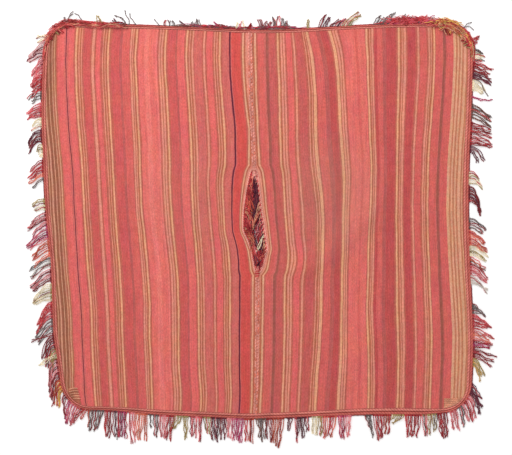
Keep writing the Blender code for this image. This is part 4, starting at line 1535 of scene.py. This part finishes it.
@dataclass
class Strands:
    """How the doubled, twisted strands of the fringe are made and lie."""

    plan: ClothPlan
    twist_pitch: float = 13.0
    leg_radius: float = 0.95
    leg_offset: float = 0.9
    loop_offset: float = 1.5
    step: float = 3.1
    root_share: float = 0.3
    knee_wander: float = 2.5
    shoulder_share: float = 0.68
    shoulder_bow: float = 1.4
    shoulder_wander: float = 3.0
    loose_reach: float = 50.0
    loop_start: float = 0.84
    loop_span: float = 0.16
    loop_crown: float = 1.1
    flatness: float = 0.85
    lowest: float = 1.9
    hump: float = 2.6
    shorter: float = 10.0
    longer: float = 4.0
    stray: float = 3.5
    strays: tuple = (Dye.MAROON, Dye.CRIMSON, Dye.DARK_RED, Dye.ROSE)
    lock_strands: float = 3.2
    lock_pull: float = 0.42
    root_wander: float = 0.4
    tip_wander: float = 3.5
    tip_aside: float = 1.6
    main_share: float = 0.5
    tuft_share: float = 0.84

    def centreline(
        self, root: np.ndarray, outward: np.ndarray, tip: np.ndarray, bow: float,
        salt: random.Random, base: float,
    ) -> np.ndarray:
        """A strand's line from its root to its tip.

        Args:
            root: Its x and y where it leaves the edge.
            outward: The edge's unit outward direction there.
            tip: The x and y of its end.
            bow: How far its middle is bowed aside.
            salt: The source of its unevenness.
            base: The height of what it lies on.

        Returns:
            Its points, as x, y and z.
        """
        reach = np.linalg.norm(tip - root)
        count = max(6, round(reach / self.step))
        t = np.linspace(0.0, 1.0, count + 1)[:, None]
        heading = (tip - root) / max(reach, 1e-6)
        aside = quarter_turn(heading)
        if aside[1] < 0.0:
            aside = -aside
        loose = min(reach / self.loose_reach, 1.0)
        knee_bow = bow + salt.uniform(-self.knee_wander, self.knee_wander) * loose
        knee = root + outward * reach * self.root_share + aside * knee_bow
        drift = salt.uniform(-self.shoulder_wander, self.shoulder_wander) * loose
        shoulder = root + (tip - root) * self.shoulder_share + aside * (bow * self.shoulder_bow + drift)
        flat = root * (1 - t) ** 3 + 3 * knee * t * (1 - t) ** 2
        flat = flat + 3 * shoulder * t * t * (1 - t) + tip * t ** 3
        waves = salt.uniform(0.8, 2.4)
        swing = np.sin(2 * np.pi * (waves * t + salt.random())) * ease_in(t * 1.6)
        flat = flat + aside * swing * salt.uniform(0.8, 3.0) * loose
        hump = salt.uniform(0.0, self.hump) * np.sin(np.pi * t ** 0.8)
        height = base + self.lowest + hump + salt.uniform(0.0, 0.9) * (1 - t)
        return np.concatenate((flat, height), axis=1)

    def twist(self, work: YarnWork, line: np.ndarray, dye: Dye, salt: random.Random) -> None:
        """Lay a doubled strand along a line, out to its looped end and back.

        Args:
            work: The mesh that takes it.
            line: Its points, as x, y and z.
            dye: Its colour.
            salt: The source of its unevenness.
        """
        lengths = running_length(line)
        share = lengths / lengths[-1]
        phase = 2 * np.pi * (lengths / self.twist_pitch + salt.random())
        looped = ease_in((share - self.loop_start) / self.loop_span)
        opening = self.leg_offset + (self.loop_offset - self.leg_offset) * looped
        tangent = unit(np.gradient(line, axis=0))
        beside = unit(np.cross(UP, tangent))
        offset = beside * (np.cos(phase) * opening)[:, None]
        offset[:, 2] += np.sin(phase) * opening * self.flatness
        crown = line[-1:] + tangent[-1:] * self.loop_offset * self.loop_crown
        legs = np.concatenate((line + offset, crown, (line - offset)[::-1]))
        work.lay(legs, self.leg_radius * salt.uniform(0.85, 1.15), self.leg_radius, dye)

    def pull(self, salt: random.Random, dyes: list) -> tuple:
        """How much longer than its tuft a lock is, how far aside it lies, and its main dye."""
        longer = salt.uniform(-self.shorter, self.longer)
        return longer, salt.uniform(-self.stray, self.stray), salt.choice(dyes)

    def tufts(
        self, work: YarnWork, path: Path, tufts: list, base: float = 0.0, sink: float = 1.0
    ) -> None:
        """Lay a run of tufts, as tuft() does each one."""
        for index, tuft in enumerate(tufts):
            self.tuft(work, path, tuft, index, base, sink)

    def tuft(
        self, work: YarnWork, path: Path, tuft: Tuft, index: int, base: float, sink: float
    ) -> None:
        """Lay every strand of a tuft.

        Args:
            work: The mesh that takes them.
            path: The line that their roots stand on.
            tuft: Where they start and end, and their dyes.
            index: The tuft's number, for its unevenness.
            base: The height of what they lie on.
            sink: How far behind the line their roots start.
        """
        salt = random.Random(f"{work.name} {index}")
        dyes = [Dye[name] for name in tuft.dyes.split()]
        start = path.nearest(tuft.root_x, tuft.root_y)
        end = path.nearest(tuft.last_root_x, tuft.last_root_y)
        first = np.array((tuft.tip_x, tuft.tip_y), float)
        last = np.array((tuft.last_tip_x, tuft.last_tip_y), float)
        locks = max(1, round(tuft.count / self.lock_strands))
        pulls = [self.pull(salt, dyes) for _ in range(locks)]
        for strand in range(tuft.count):
            share = (strand + 0.5) / tuft.count
            wander = salt.uniform(-self.root_wander, self.root_wander) / tuft.count
            along = start + (end - start) * (share + wander)
            root = path.at(np.array([along]), -sink)[0]
            outward = path.outward(np.array([along]))[0]
            lock = min(int(share * locks), locks - 1)
            pull, aside, main = pulls[lock]
            gathered = share + ((lock + 0.5) / locks - share) * self.lock_pull
            tip = first + (last - first) * gathered
            heading = unit(tip - root)
            across = quarter_turn(heading) * (aside + self.tip_aside * salt.uniform(-1.0, 1.0))
            tip = tip + heading * (pull + self.tip_wander * salt.uniform(-1.0, 1.0)) + across
            line = self.centreline(root, outward, tip, tuft.bow * salt.uniform(0.7, 1.3), salt, base)
            draw = salt.random()
            others = dyes if draw < self.tuft_share else self.strays
            dye = main if draw < self.main_share else salt.choice(others)
            self.twist(work, line, dye, salt)


@dataclass
class StripedPanels:
    """The two loom widths, each one sheet of striped cloth with rounded outer corners."""

    plan: ClothPlan
    corner_columns: int = 14
    plain_columns: int = 106
    rows: int = 196
    length: float = 1115.0
    # How much darker each panel is along its outer edge beside the shoulder
    edge_darkening: tuple = (0.15, 0.0)
    faded: tuple = (0.07, 0.17)

    def build(self, side: int) -> Object:
        """Make one panel.

        Args:
            side: -1 for left, 1 for right.

        Returns:
            The panel's object.
        """
        word = side_word(side)
        columns = self.plan.column_shares(self.corner_columns, self.plain_columns)
        made = grid_object(f"striped_panel_{word}", len(columns) - 1, self.rows)
        shares = grid_shares(made)
        inset = columns[np.rint(shares[:, 0] * (len(columns) - 1)).astype(int)]
        places = self.plan.points(side, inset, shares[:, 1])
        stripes = inset + side * self.plan.sway(side, inset, places[:, 1]) / self.plan.panel_width
        set_grid(made, self.plan.in_frame(places), np.stack((stripes, shares[:, 1]), axis=-1))
        if side > 0:
            made.data.flip_normals()
        thicken(made, self.plan.thickness)
        cloth = WarpFacedCloth(
            f"warp_faced_wool_{word}",
            LEFT_CHART if side < 0 else RIGHT_CHART,
            self.plan.panel_width,
            self.length,
            edge_darkening=self.edge_darkening[side > 0],
            faded=self.faded[side > 0],
        )
        made.data.materials.append(cloth.material())
        return seat(made, "striped_cloth", f"panel_{word}")


@dataclass
class EdgeBinding:
    """The tubular band round the outline, with its two beaded ribs."""

    plan: ClothPlan
    height: float = 4.2
    step: float = 2.2
    rib_steps: int = 6
    under_steps: int = 3
    bead_pitch: float = 9.0
    seat_gap: float = 0.4
    # How light each side's band is all over: the left one is darker
    worn: tuple = (0.91, 1.0)

    def section(self) -> tuple:
        """The band's section: place across and height as shares, and where it is underneath.

        Returns:
            Three arrays, with a value for each corner of the section.
        """
        top = np.linspace(0.0, 1.0, 2 * self.rib_steps + 1)
        rib = np.sqrt(np.maximum(0.0, 1.0 - (2.0 * ((2.0 * top) % 1.0) - 1.0) ** 2))
        rib[-1] = 0.0
        under = np.linspace(1.0, 0.0, self.under_steps + 2)[1:-1]
        across = np.concatenate((top, under, [0.0]))
        level = np.concatenate((0.22 + 0.78 * rib, np.zeros(self.under_steps), [0.22]))
        below = np.concatenate((np.zeros(len(top)), np.ones(self.under_steps), [0.0]))
        return across, level, below

    def build(self, side: int) -> Object:
        """Make one side's band.

        Args:
            side: -1 for left, 1 for right.

        Returns:
            The band's object.
        """
        word = side_word(side)
        path = self.plan.outline(side)
        across, level, below = self.section()
        count = round(path.length / self.step)
        made = grid_object(f"edge_binding_{word}", count, len(across) - 1)
        shares = grid_shares(made)
        ring = np.rint(shares[:, 1] * (len(across) - 1)).astype(int)
        along = shares[:, 0] * path.length
        out, over = self.plan.binding_reach(side, path, along)
        inner = np.where(below[ring] > 0.0, 0.0, over)
        flat = path.at(along, across[ring] * (out + inner) - inner + self.plan.piece_gap)
        lean = np.where(across[ring] < 0.5, 1.0, -1.0) * (across[ring] % 0.5) * self.bead_pitch
        bead = np.abs(np.sin(np.pi * (along + lean) / self.bead_pitch)) ** 0.5
        z = self.height * level[ring] * np.where(level[ring] > 0.3, 0.80 + 0.20 * bead, 1.0)
        on_cloth = (self.plan.thickness + self.seat_gap) * np.clip(over / 2.0, 0.0, 1.0)
        z = np.where((across[ring] <= 0.5) & (below[ring] == 0.0), np.maximum(z, on_cloth), z)
        places = self.plan.in_frame(raised(flat, z))
        set_grid(made, places, np.stack((along / YARN_SPAN, shares[:, 1]), axis=-1))
        self.close()
        bpy.ops.object.shade_smooth_by_angle(angle=BINDING_ANGLE)
        made.data.materials.append(TubularBinding(worn=self.worn[side > 0]).material())
        runs = [f"binding_{run}_{word}" for run in ("top", "side", "bottom")]
        return seat(made, "edge_binding", *runs)

    def close(self) -> None:
        """Join the active band's long edges, cap its ends and turn its faces outwards."""
        bpy.ops.object.mode_set(mode="EDIT")
        bpy.ops.mesh.select_all(action="SELECT")
        bpy.ops.mesh.remove_doubles(threshold=1e-6)
        bpy.ops.mesh.select_all(action="SELECT")
        bpy.ops.mesh.fill_holes(sides=0)
        bpy.ops.mesh.select_all(action="SELECT")
        bpy.ops.mesh.normals_make_consistent(inside=False)
        bpy.ops.object.mode_set(mode="OBJECT")


@dataclass
class SeamWork:
    """The yarns that join the panels: the seam's stitches, the slit's cords and its tacks."""

    plan: ClothPlan
    base: float = 2.3
    pitch: float = 9.4
    column: float = 3.7
    bead_half: float = 2.1
    cross_half: float = 0.75
    cord_width: float = 6.4
    cord_pitch: float = 14.0
    cord_overlap: float = 12.0
    cord_step: float = 2.2
    wraps: int = 8
    wrap_reach: float = 6.0
    wrap_flare: float = 0.55
    wrap_pinch: float = 0.9
    salmon_share: float = 0.25

    def stitch(self, word: str, top: float, bottom: float) -> Object:
        """Sew one run of the joining seam.

        Args:
            word: Which run: upper or lower.
            top: The height it starts at.
            bottom: The height it ends at.

        Returns:
            The run of stitches.
        """
        work = YarnWork(f"seam_yarn_{word}", self.plan, sides=5)
        count = round((top - bottom) / self.pitch)
        pitch = (top - bottom) / count
        salt = random.Random(work.name)
        reach, aside, rise, bulk = np.array(BEAD_ROWS).T
        share, cross_rise = np.array(CROSS_ROWS).T
        for index in range(count):
            for column in (-1, 1):
                middle = top - (index + 0.5 + 0.22 * column) * pitch + salt.uniform(-0.5, 0.5)
                y = middle + reach * pitch
                x = self.plan.seam.at(y) + column * self.column + salt.uniform(-0.35, 0.35)
                x = x + aside * column
                z = self.base + rise
                half = self.bead_half * bulk * salt.uniform(0.85, 1.1)
                dye = Dye.SALMON if salt.random() < self.salmon_share else Dye.STITCH
                work.lay(np.stack((x, y, z), axis=-1), half, half * 0.75, dye)
            y = top - (index + salt.uniform(0.85, 1.05)) * pitch + (0.5 - share) * pitch * 0.5
            x = self.plan.seam.at(y) + (share - 0.5) * 2.6 * self.column
            z = self.base + cross_rise
            work.lay(np.stack((x, y, z), axis=-1), self.cross_half, self.cross_half, Dye.STITCH)
        return seat(work.build(), "stitch_yarn", f"seam_stitch_{word}")

    def cord(self, side: int) -> Object:
        """Lay the two-ply cord along one edge of the slit.

        Args:
            side: -1 for left, 1 for right.

        Returns:
            The cord.
        """
        word = side_word(side)
        work = YarnWork(f"slit_cord_{word}", self.plan, sides=6)
        path = self.plan.slit(side, self.cord_overlap)
        along = np.linspace(0.0, path.length, round(path.length / self.cord_step))
        middle = path.at(along, -self.plan.piece_gap - self.cord_width / 2)
        out = path.outward(along)
        bed = raised(middle - out * 1.8, 0.9)
        work.lay(bed, self.cord_width / 2 + 2.2, 0.8, Dye.OXBLOOD if side < 0 else Dye.BINDING_RED)
        inner = (Dye.CRIMSON, Dye.OXBLOOD) if side < 0 else (Dye.STITCH, Dye.CRIMSON)
        for row, plies in ((1.4, (Dye.STITCH, Dye.STITCH)), (-2.7, inner)):
            for start, dye in zip((0.0, 0.5), plies):
                turn = 2 * np.pi * (along / self.cord_pitch + start + row / 9.0)
                flat = middle + out * (row + np.cos(turn))[:, None]
                line = raised(flat, 2.4 + 0.7 * np.sin(turn))
                work.lay(line, 1.4 if row > 0.0 else 1.7, 1.3, dye)
        return seat(work.build(), "stitch_yarn", f"neck_cord_{word}")

    def tack(self, word: str, middle: float, dye: Dye, ends: int, end_reach: float) -> Object:
        """Wrap one bar tack across an end of the slit, with its yarn's loose ends.

        Args:
            word: Which tack: upper or lower.
            middle: The height of its middle.
            dye: The colour of its wraps.
            ends: How many ends hang into the slit.
            end_reach: The longest end's length.

        Returns:
            The tack.
        """
        work = YarnWork(f"slit_tack_{word}", self.plan, sides=6)
        length = self.plan.tack_length
        salt = random.Random(work.name)
        down = -1.0 if middle > 0.0 else 1.0
        y = middle + np.linspace(-0.5, 0.5, 5) * (length + 4.0)
        bed = np.stack((self.plan.seam.at(y), y, np.full(5, 1.0)), axis=-1)
        work.lay(bed, 6.6, 0.9, dye)
        for index in range(self.wraps):
            share = (index + 0.5) / self.wraps - 0.5
            flare = 1.0 + self.wrap_flare * share * down - self.wrap_pinch * share * share
            half = self.wrap_reach * flare + salt.uniform(-0.5, 0.5)
            t = np.array(WRAP_SHARES)
            y = middle + share * (length - 2.8) + t * salt.uniform(0.2, 1.1)
            x = self.plan.seam.at(y) + t * half
            z = self.base + 1.4 + 1.6 * (1.0 - t * t) ** 0.5
            line = np.stack((x, y, z), axis=-1)
            work.lay(line, 1.35, 1.15, dye if index % 3 else Dye.BLUSH)
        for index in range(ends):
            share = (index + 0.5) / ends - 0.5
            reach = salt.uniform(0.45, 1.0) * end_reach
            t = np.linspace(0.0, 1.0, 9)
            y = middle + down * (length / 2 - 3.0 + reach * t)
            sway = salt.uniform(-1.5, 1.5) * np.sin(np.pi * 1.6 * t) + share * 9.0 * t
            x = self.plan.seam.at(y) + share * 7.0 + sway
            z = 3.6 + 0.8 * np.sin(np.pi * t) - 0.9 * t
            shade = Dye.STITCH if index % 2 else dye
            work.lay(np.stack((x, y, z), axis=-1), 1.1, 1.0, shade)
        return seat(work.build(), "stitch_yarn", f"neck_tack_{word}")

    def build(self) -> list:
        """Make all the sewing down the middle.

        Returns:
            Its pieces.
        """
        seam = np.ones(1)
        top_edge = self.plan.points(-1, seam, np.ones(1))[0][1]
        bottom_edge = self.plan.points(-1, seam, np.zeros(1))[0][1]
        gap = self.plan.piece_gap
        upper = SLIT_TOP + gap + self.plan.tack_length / 2
        lower = SLIT_BOTTOM - gap - self.plan.tack_length / 2
        reach = self.plan.tack_length / 2 + gap
        return [
            self.stitch("upper", top_edge - gap, upper + reach),
            self.stitch("lower", lower - reach, bottom_edge + gap),
            self.cord(-1),
            self.cord(1),
            self.tack("upper", upper, Dye.STITCH, 6, 52.0),
            self.tack("lower", lower, Dye.CRIMSON, 5, 20.0),
        ]


@dataclass
class CornerPatch:
    """A small darned patch that strengthens a lower corner, with its laid tan yarns."""

    plan: ClothPlan
    side: int
    outer: float
    inner: float
    top: float
    ground: Dye
    yarn: Dye
    lift: float = 2.3
    margin: float = 1.0
    thickness: float = 0.9
    slope: float = 10.0
    tall: float = 37.0
    rise: float = 3.0
    bow: float = 2.0
    yarns: int = 5
    yarn_half: float = 1.5

    def build(self) -> tuple:
        """Make the patch: its ground, and the yarns laid on it.

        Returns:
            Both pieces.
        """
        word = side_word(self.side)
        made = grid_object(f"patch_ground_{word}", 14, 12)
        shares = grid_shares(made)
        depth = self.outer + (self.inner - self.slope * shares[:, 1] - self.outer) * shares[:, 0]
        inset = depth / self.plan.panel_width
        low = self.plan.points(self.side, inset, np.zeros_like(inset))
        high = self.plan.points(self.side, inset, np.ones_like(inset))
        y = low[:, 1] + self.margin + (self.top - low[:, 1] - self.margin) * shares[:, 1]
        height = (y - low[:, 1]) / (high[:, 1] - low[:, 1])
        places = self.plan.points(self.side, inset, height) + (0.0, 0.0, self.lift)
        set_grid(made, self.plan.in_frame(places), shares)
        if self.side > 0:
            made.data.flip_normals()
        thicken(made, self.thickness)
        made.data.materials.append(PliedYarn(self.ground).material())
        pieces = (made, self.laid_yarns())
        return tuple(seat(piece, "corner_patch", f"corner_patch_{word}") for piece in pieces)

    def laid_yarns(self) -> Object:
        """Lay the darning yarns across the ground, each with a slight bow.

        Returns:
            The yarns, joined.
        """
        work = YarnWork(f"patch_yarns_{side_word(self.side)}", self.plan, sides=6)
        salt = random.Random(work.name)
        t = np.linspace(0.0, 1.0, 12)
        for index in range(self.yarns):
            share = (index + 0.4) / self.yarns
            inner = self.inner - self.slope * (1.0 - share) - 1.0
            depth = self.outer + 1.0 + (inner - self.outer - 1.0) * t
            low = self.plan.points(self.side, depth / self.plan.panel_width, np.zeros_like(t))
            y = self.top - self.tall * share + self.rise * t + self.bow * np.sin(np.pi * t)
            kept = (y > low[:, 1] + self.margin + 2.0) & (y < self.top + 1.0)
            if kept.sum() < 3:
                continue
            z = np.full_like(t, self.lift + self.thickness + 0.7) + salt.uniform(-0.1, 0.2)
            work.lay(np.stack((low[:, 0], y, z), axis=-1)[kept], self.yarn_half, 0.9, self.yarn)
        return work.build()


@dataclass
class FringeMaker:
    """All the fringe: its heading tape, its tufts, and what is turned in over the cloth."""

    plan: ClothPlan
    strands: Strands
    tape_half: float = 2.9
    tape_step: float = 4.0
    bare_half: float = 1.6
    tape_height: float = 1.15
    heap_area: float = 26.0
    heap_least: float = 6.5
    cord_width: float = 6.4
    end_gap: float = 0.6
    turned_level: float = 5.2
    underlay_step: float = 2.7

    def rim(self, side: int) -> Path:
        """The outer edge of the binding, that the fringe grows from.

        Args:
            side: -1 for left, 1 for right.

        Returns:
            The edge, as a line on the floor.
        """
        inner = self.plan.outline(side)
        out = self.plan.binding_reach(side, inner, inner.along)[0]
        return Path(inner.at(inner.along, out + 2 * self.plan.piece_gap), side)

    def reach(self, path: Path, tuft: Tuft) -> list:
        """The distances along a line between which a tuft's roots stand, the lower first."""
        first = path.nearest(tuft.root_x, tuft.root_y)
        return sorted((first, path.nearest(tuft.last_root_x, tuft.last_root_y)))

    def tape(
        self, work: YarnWork, path: Path, start: float, end: float, tufts: list, top: bool
    ) -> None:
        """Lay the heading tape along a run, dyed as the tufts that grow from it.

        Args:
            work: The mesh that takes it.
            path: The binding's outer edge.
            start: Where the run starts along it.
            end: Where it ends.
            tufts: The run's tufts.
            top: Whether it's the shoulder edge, whose tape stands up by a table.
        """
        low, high = min(start, end), max(start, end)
        bare = Dye.DARK_RED if top else Dye.MAROON
        marks = []
        for tuft in tufts:
            ends = self.reach(path, tuft)
            marks.append((max(ends[0], low), min(ends[1], high), tuft.main_dye))
        marks.sort(key=lambda mark: mark[0])
        place = low
        for first, last, dye in marks:
            if first > place + 2.0:
                self.ribbon(work, path, place, first, bare, top, self.bare_half)
            if last > max(first, place) + 2.0:
                self.ribbon(work, path, max(first, place), last, dye, top, self.tape_half)
                place = last
        if high > place + 2.0:
            self.ribbon(work, path, place, high, bare, top, self.bare_half)

    def ribbon(
        self, work: YarnWork, path: Path, start: float, end: float, dye: Dye, top: bool, half: float
    ) -> None:
        """Lay a stretch of tape, as a flat yarn with uneven edges.

        Args:
            work: The mesh that takes it.
            path: The binding's outer edge.
            start: Where the stretch starts along it.
            end: Where it ends.
            dye: Its colour.
            top: Whether it's the shoulder edge, whose tape stands up by a table.
            half: Its half width elsewhere.
        """
        count = max(3, round((end - start) / self.tape_step))
        along = np.linspace(start, end, count)
        salt = random.Random(f"{work.name} {start:.0f}")
        if top:
            x = path.at(along)[:, 0]
            half = np.maximum(profile(TAPE_ROWS, 1).at(x) / 2, 1.4)
        wide = np.broadcast_to(half, along.shape) * np.array([salt.uniform(0.86, 1.14) for _ in along])
        z = 1.35 + np.array([salt.uniform(-0.1, 0.25) for _ in along])
        work.lay(raised(path.at(along, 0.8 * wide - 1.0), z), wide, self.tape_height, dye, sides=6)

    def heap(
        self, work: YarnWork, path: Path, start: float, end: float, rows: tuple, dyes: tuple, base: float
    ) -> None:
        """Heap short tangled yarn ends over a strip beside the rim.

        Args:
            work: The mesh that takes them.
            path: The binding's outer edge.
            start: Where the strip starts along it.
            end: Where it ends.
            rows: Distances x with the strip's reach at each, outwards if above nought.
            dyes: The colours of the ends.
            base: The height of what they lie on.
        """
        salt = random.Random(f"{work.name} heap")
        place = start
        while place < end:
            reach = float(profile(rows, 1).at(path.at(np.array([place]))[:, 0])[0])
            place += self.heap_area / max(abs(reach) + 3.0, 5.0)
            if abs(reach) < self.heap_least:
                continue
            t = np.linspace(0.0, 1.0, 9)
            first, last = salt.uniform(-0.15, 0.9), salt.uniform(-0.1, 1.0)
            slide = salt.choice((-1.0, 1.0)) * salt.uniform(12.0, 38.0)
            wave = salt.uniform(0.02, 0.12) * np.sin(2 * np.pi * (t * salt.uniform(0.6, 1.4) + salt.random()))
            line = path.at(place + slide * t, reach * (first + (last - first) * t + wave))
            level = base + salt.uniform(0.9, 2.4) * (0.3 + np.sin(np.pi * t))
            half = salt.uniform(1.0, 1.5)
            work.lay(raised(line, level), half, 0.85, salt.choice(dyes))

    def build_run(self, run: str, side: int) -> Object:
        """Make one run of the open fringe.

        Args:
            run: Its name, one of RUNS.
            side: -1 for left, 1 for right.

        Returns:
            The run's object.
        """
        word = side_word(side)
        work = YarnWork(f"fringe_yarn_{run}_{word}", self.plan)
        rim = self.rim(side)
        tufts = charted(f"{run}_{word}")
        marks = (0.0, *self.changes(rim), rim.length)
        start = marks[RUNS.index(run)] + self.end_gap
        end = marks[RUNS.index(run) + 1] - self.end_gap
        self.tape(work, rim, start, end, tufts, run == "top")
        if run == "top":
            for rows, dyes in EDGE_HEAPS:
                self.heap(work, rim, start, end, rows, dyes, 2.0)
        self.strands.tufts(work, rim, tufts)
        return seat(work.build(), "fringe_yarn", f"fringe_{run}_{word}")

    def changes(self, rim: Path) -> tuple:
        """Distances along the rim at which one run of fringe gives way to the next.

        Args:
            rim: The binding's outer edge.

        Returns:
            Where the side starts, where the lower corner starts, and where the hem starts.
        """
        shoulder = self.plan.hem_steps + self.plan.corner_steps
        lower = shoulder + self.plan.side_steps
        marks = (shoulder + 1, lower, lower + self.plan.corner_steps + 1)
        return tuple(rim.along[mark] for mark in marks)

    def build_turned(self, side: int) -> Object:
        """Make the fringe that is turned in over the cloth at a shoulder corner.

        Args:
            side: -1 for left, 1 for right.

        Returns:
            The turned fringe's object.
        """
        word = side_word(side)
        work = YarnWork(f"fringe_yarn_turned_{word}", self.plan)
        rim = self.rim(side)
        start = rim.nearest(*TURNED_STARTS[side])
        end = self.changes(rim)[0]
        ground, flecks = TURNED_DYES[side]
        along = np.linspace(start + 1.0, end - 1.0, round((end - start) / self.tape_step))
        reach = profile(TURNED_ROWS[side], 1).at(rim.at(along)[:, 0])
        wide = np.maximum(reach * 0.42, 3.0)
        work.lay(raised(rim.at(along, -wide), self.turned_level), wide, 1.0, ground, sides=6)
        inwards = tuple((x, -reach) for x, reach in TURNED_ROWS[side])
        self.heap(work, rim, start - 4.0, end - 2.0, inwards, flecks, 5.4)
        self.strands.tufts(work, rim, charted(f"turned_{word}"), base=2.6, sink=4.0)
        return seat(work.build(), "fringe_yarn", f"fringe_turned_{word}")

    def build_neck(self, side: int) -> Object:
        """Make the short fringe inside the neck slit, on one of its edges.

        Args:
            side: -1 for left, 1 for right.

        Returns:
            The short fringe's object.
        """
        word = side_word(side)
        work = YarnWork(f"fringe_yarn_neck_{word}", self.plan)
        edge = self.plan.slit(side)
        path = Path(edge.at(edge.along, -2 * self.plan.piece_gap - self.cord_width), -side)
        tufts = charted(f"neck_{word}")
        for tuft in tufts:
            ends = self.reach(path, tuft)
            along = np.linspace(ends[0], ends[1], max(3, round((ends[1] - ends[0]) / 5.0)))
            work.lay(raised(path.at(along, 1.6), 1.4), 1.6, 1.1, tuft.main_dye, sides=6)
        self.underlay(work, side)
        # Dark strays: partly the yarns' own dyes, partly painted shade in the slit
        dark = (Dye.DEEP_PLUM, Dye.MAROON, Dye.OXBLOOD, Dye.DARK_RED)
        tangle = Strands(self.plan, strays=dark, shorter=17.0, longer=9.0, stray=11.0, lock_strands=1.2)
        tangle.tufts(work, path, tufts, base=0.6, sink=0.0)
        return seat(work.build(), "fringe_yarn", f"neck_fringe_{word}")

    def underlay(self, work: YarnWork, side: int) -> None:
        """Close the slit from below with long dark strands that run down it: painted shadow in the slit.

        Args:
            work: The mesh that takes them.
            side: -1 for left, 1 for right.
        """
        salt = random.Random(f"{work.name} underlay")
        edge = self.plan.slit(side)
        along = np.linspace(0.0, edge.length, 70)
        line = edge.at(along)
        room = np.abs(line[:, 0] - self.plan.seam.at(line[:, 1]))
        for inset in np.arange(6.5, room.max() + 1.5, self.underlay_step):
            there = along[room > inset - 1.4]
            if len(there) < 5:
                continue
            sway = 0.5 * np.sin(there / salt.uniform(9.0, 17.0))
            level = 1.1 + 0.2 * np.sin(there / salt.uniform(6.0, 11.0))
            # Dark dyes, as painted shadow under the neck fringe
            dye = salt.choice((Dye.DEEP_PLUM, Dye.DARK_RED, Dye.DEEP_PLUM, Dye.MAROON))
            work.lay(raised(edge.at(there, sway - inset), level), 1.9, 1.0, dye)


@dataclass
class Studio:
    """A pale floor, soft light from the shoulder side, and a camera above, in metres."""

    distance: float = 3.6
    width: float = 1.4848
    sensor: float = 36.0
    middle_x: float = -0.0035
    middle_y: float = -0.00265
    floor_drop: float = 0.0004
    floor_size: float = 14.0
    lamp_place: tuple = (-1.0, 2.2, 2.0)
    lamp_size: float = 1.8
    lamp_power: float = 46.0

    def build(self) -> None:
        """Make the floor, the lights and the camera."""
        self.floor()
        self.world()
        self.lamp()
        self.camera()
        # Dyes are matched to the wool as seen, so no film curve is laid over them
        bpy.context.scene.view_settings.view_transform = "Standard"

    def floor(self) -> None:
        """Lay the floor a hair below the cloth."""
        bpy.ops.mesh.primitive_plane_add(size=self.floor_size, location=(0.0, 0.0, -self.floor_drop))
        made = bpy.context.object
        made.name = "floor"
        board = new_material("matt_white_board")
        shader = board.node_tree.nodes["Principled BSDF"]
        shader.inputs["Base Color"].default_value = linear("F8F8F8")
        shader.inputs["Roughness"].default_value = 0.95
        shader.inputs["Specular IOR Level"].default_value = 0.0
        shader.inputs["Emission Color"].default_value = linear("FFFFFF")
        shader.inputs["Emission Strength"].default_value = 0.25
        made.data.materials.append(board)

    def world(self) -> None:
        """Light everything evenly from a white surround."""
        world = bpy.data.worlds.new("white_surround")
        world.use_nodes = True
        back = world.node_tree.nodes["Background"]
        back.inputs["Color"].default_value = (1.0, 1.0, 1.0, 1.0)
        back.inputs["Strength"].default_value = 0.68
        bpy.context.scene.world = world

    def lamp(self) -> None:
        """Hang a large soft lamp, square and in watts, that faces the middle of the cloth."""
        data = bpy.data.lights.new("key_light", "AREA")
        data.shape = "SQUARE"
        data.size = self.lamp_size
        data.energy = self.lamp_power
        made = place_object("key_light", data)
        made.location = self.lamp_place
        made.rotation_euler = (-made.location).to_track_quat("-Z", "Y").to_euler()

    def camera(self) -> None:
        """Hang the camera straight above the middle, with the shoulder edge upwards."""
        data = bpy.data.cameras.new("overhead_camera")
        data.sensor_width = self.sensor
        data.lens = self.sensor * self.distance / self.width
        made = place_object("overhead_camera", data)
        made.location = (self.middle_x, self.middle_y, self.distance)
        bpy.context.scene.camera = made


def make_patches(plan: ClothPlan) -> list:
    """Make both corner patches, each a ground with its laid yarns.

    Args:
        plan: How the cloth lies.

    Returns:
        All four pieces.
    """
    left = CornerPatch(plan, -1, outer=12.0, inner=49.0, top=-469.0, ground=Dye.COCOA, yarn=Dye.SAND)
    right = CornerPatch(
        plan, 1, outer=15.0, inner=68.0, top=-498.0, ground=Dye.FAWN, yarn=Dye.STRAW,
        slope=0.0, tall=28.0, rise=0.0, bow=0.5,
    )
    made = []
    for patch, flat, area in ((left, (0.037, 0.058), 0.00105), (right, (0.053, 0.033), 0.0011)):
        ground, yarns = patch.build()
        made += [ground, yarns]
    return made


def main() -> None:
    """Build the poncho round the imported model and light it."""
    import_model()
    plan = ClothPlan()
    plan.settle_on_frame()
    LOG.info("frame shift %.2f, %.2f mm", plan.shift_x, plan.shift_y)
    panels = StripedPanels(plan)
    cloth = {side: panels.build(side) for side in (-1, 1)}
    LOG.info("striped panels")
    binding = EdgeBinding(plan)
    bands = {side: binding.build(side) for side in (-1, 1)}
    LOG.info("edge binding")
    sewing = SeamWork(plan).build()
    LOG.info("seam, cords and tacks")
    patches = make_patches(plan)
    LOG.info("corner patches")
    fringe = FringeMaker(plan, Strands(plan))
    runs = []
    for side in (-1, 1):
        tufts = [fringe.build_run(run, side) for run in RUNS]
        tufts += [fringe.build_turned(side), fringe.build_neck(side)]
        runs += tufts
    LOG.info("fringe")
    Studio().build()
    for piece in [*cloth.values(), *bands.values(), *sewing, *patches, *runs]:
        LOG.info("%s: %d faces", piece.name, len(piece.data.polygons))
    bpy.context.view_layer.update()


if __name__ == "__main__":
    logging.basicConfig(level=logging.INFO, format="%(message)s")
    main()
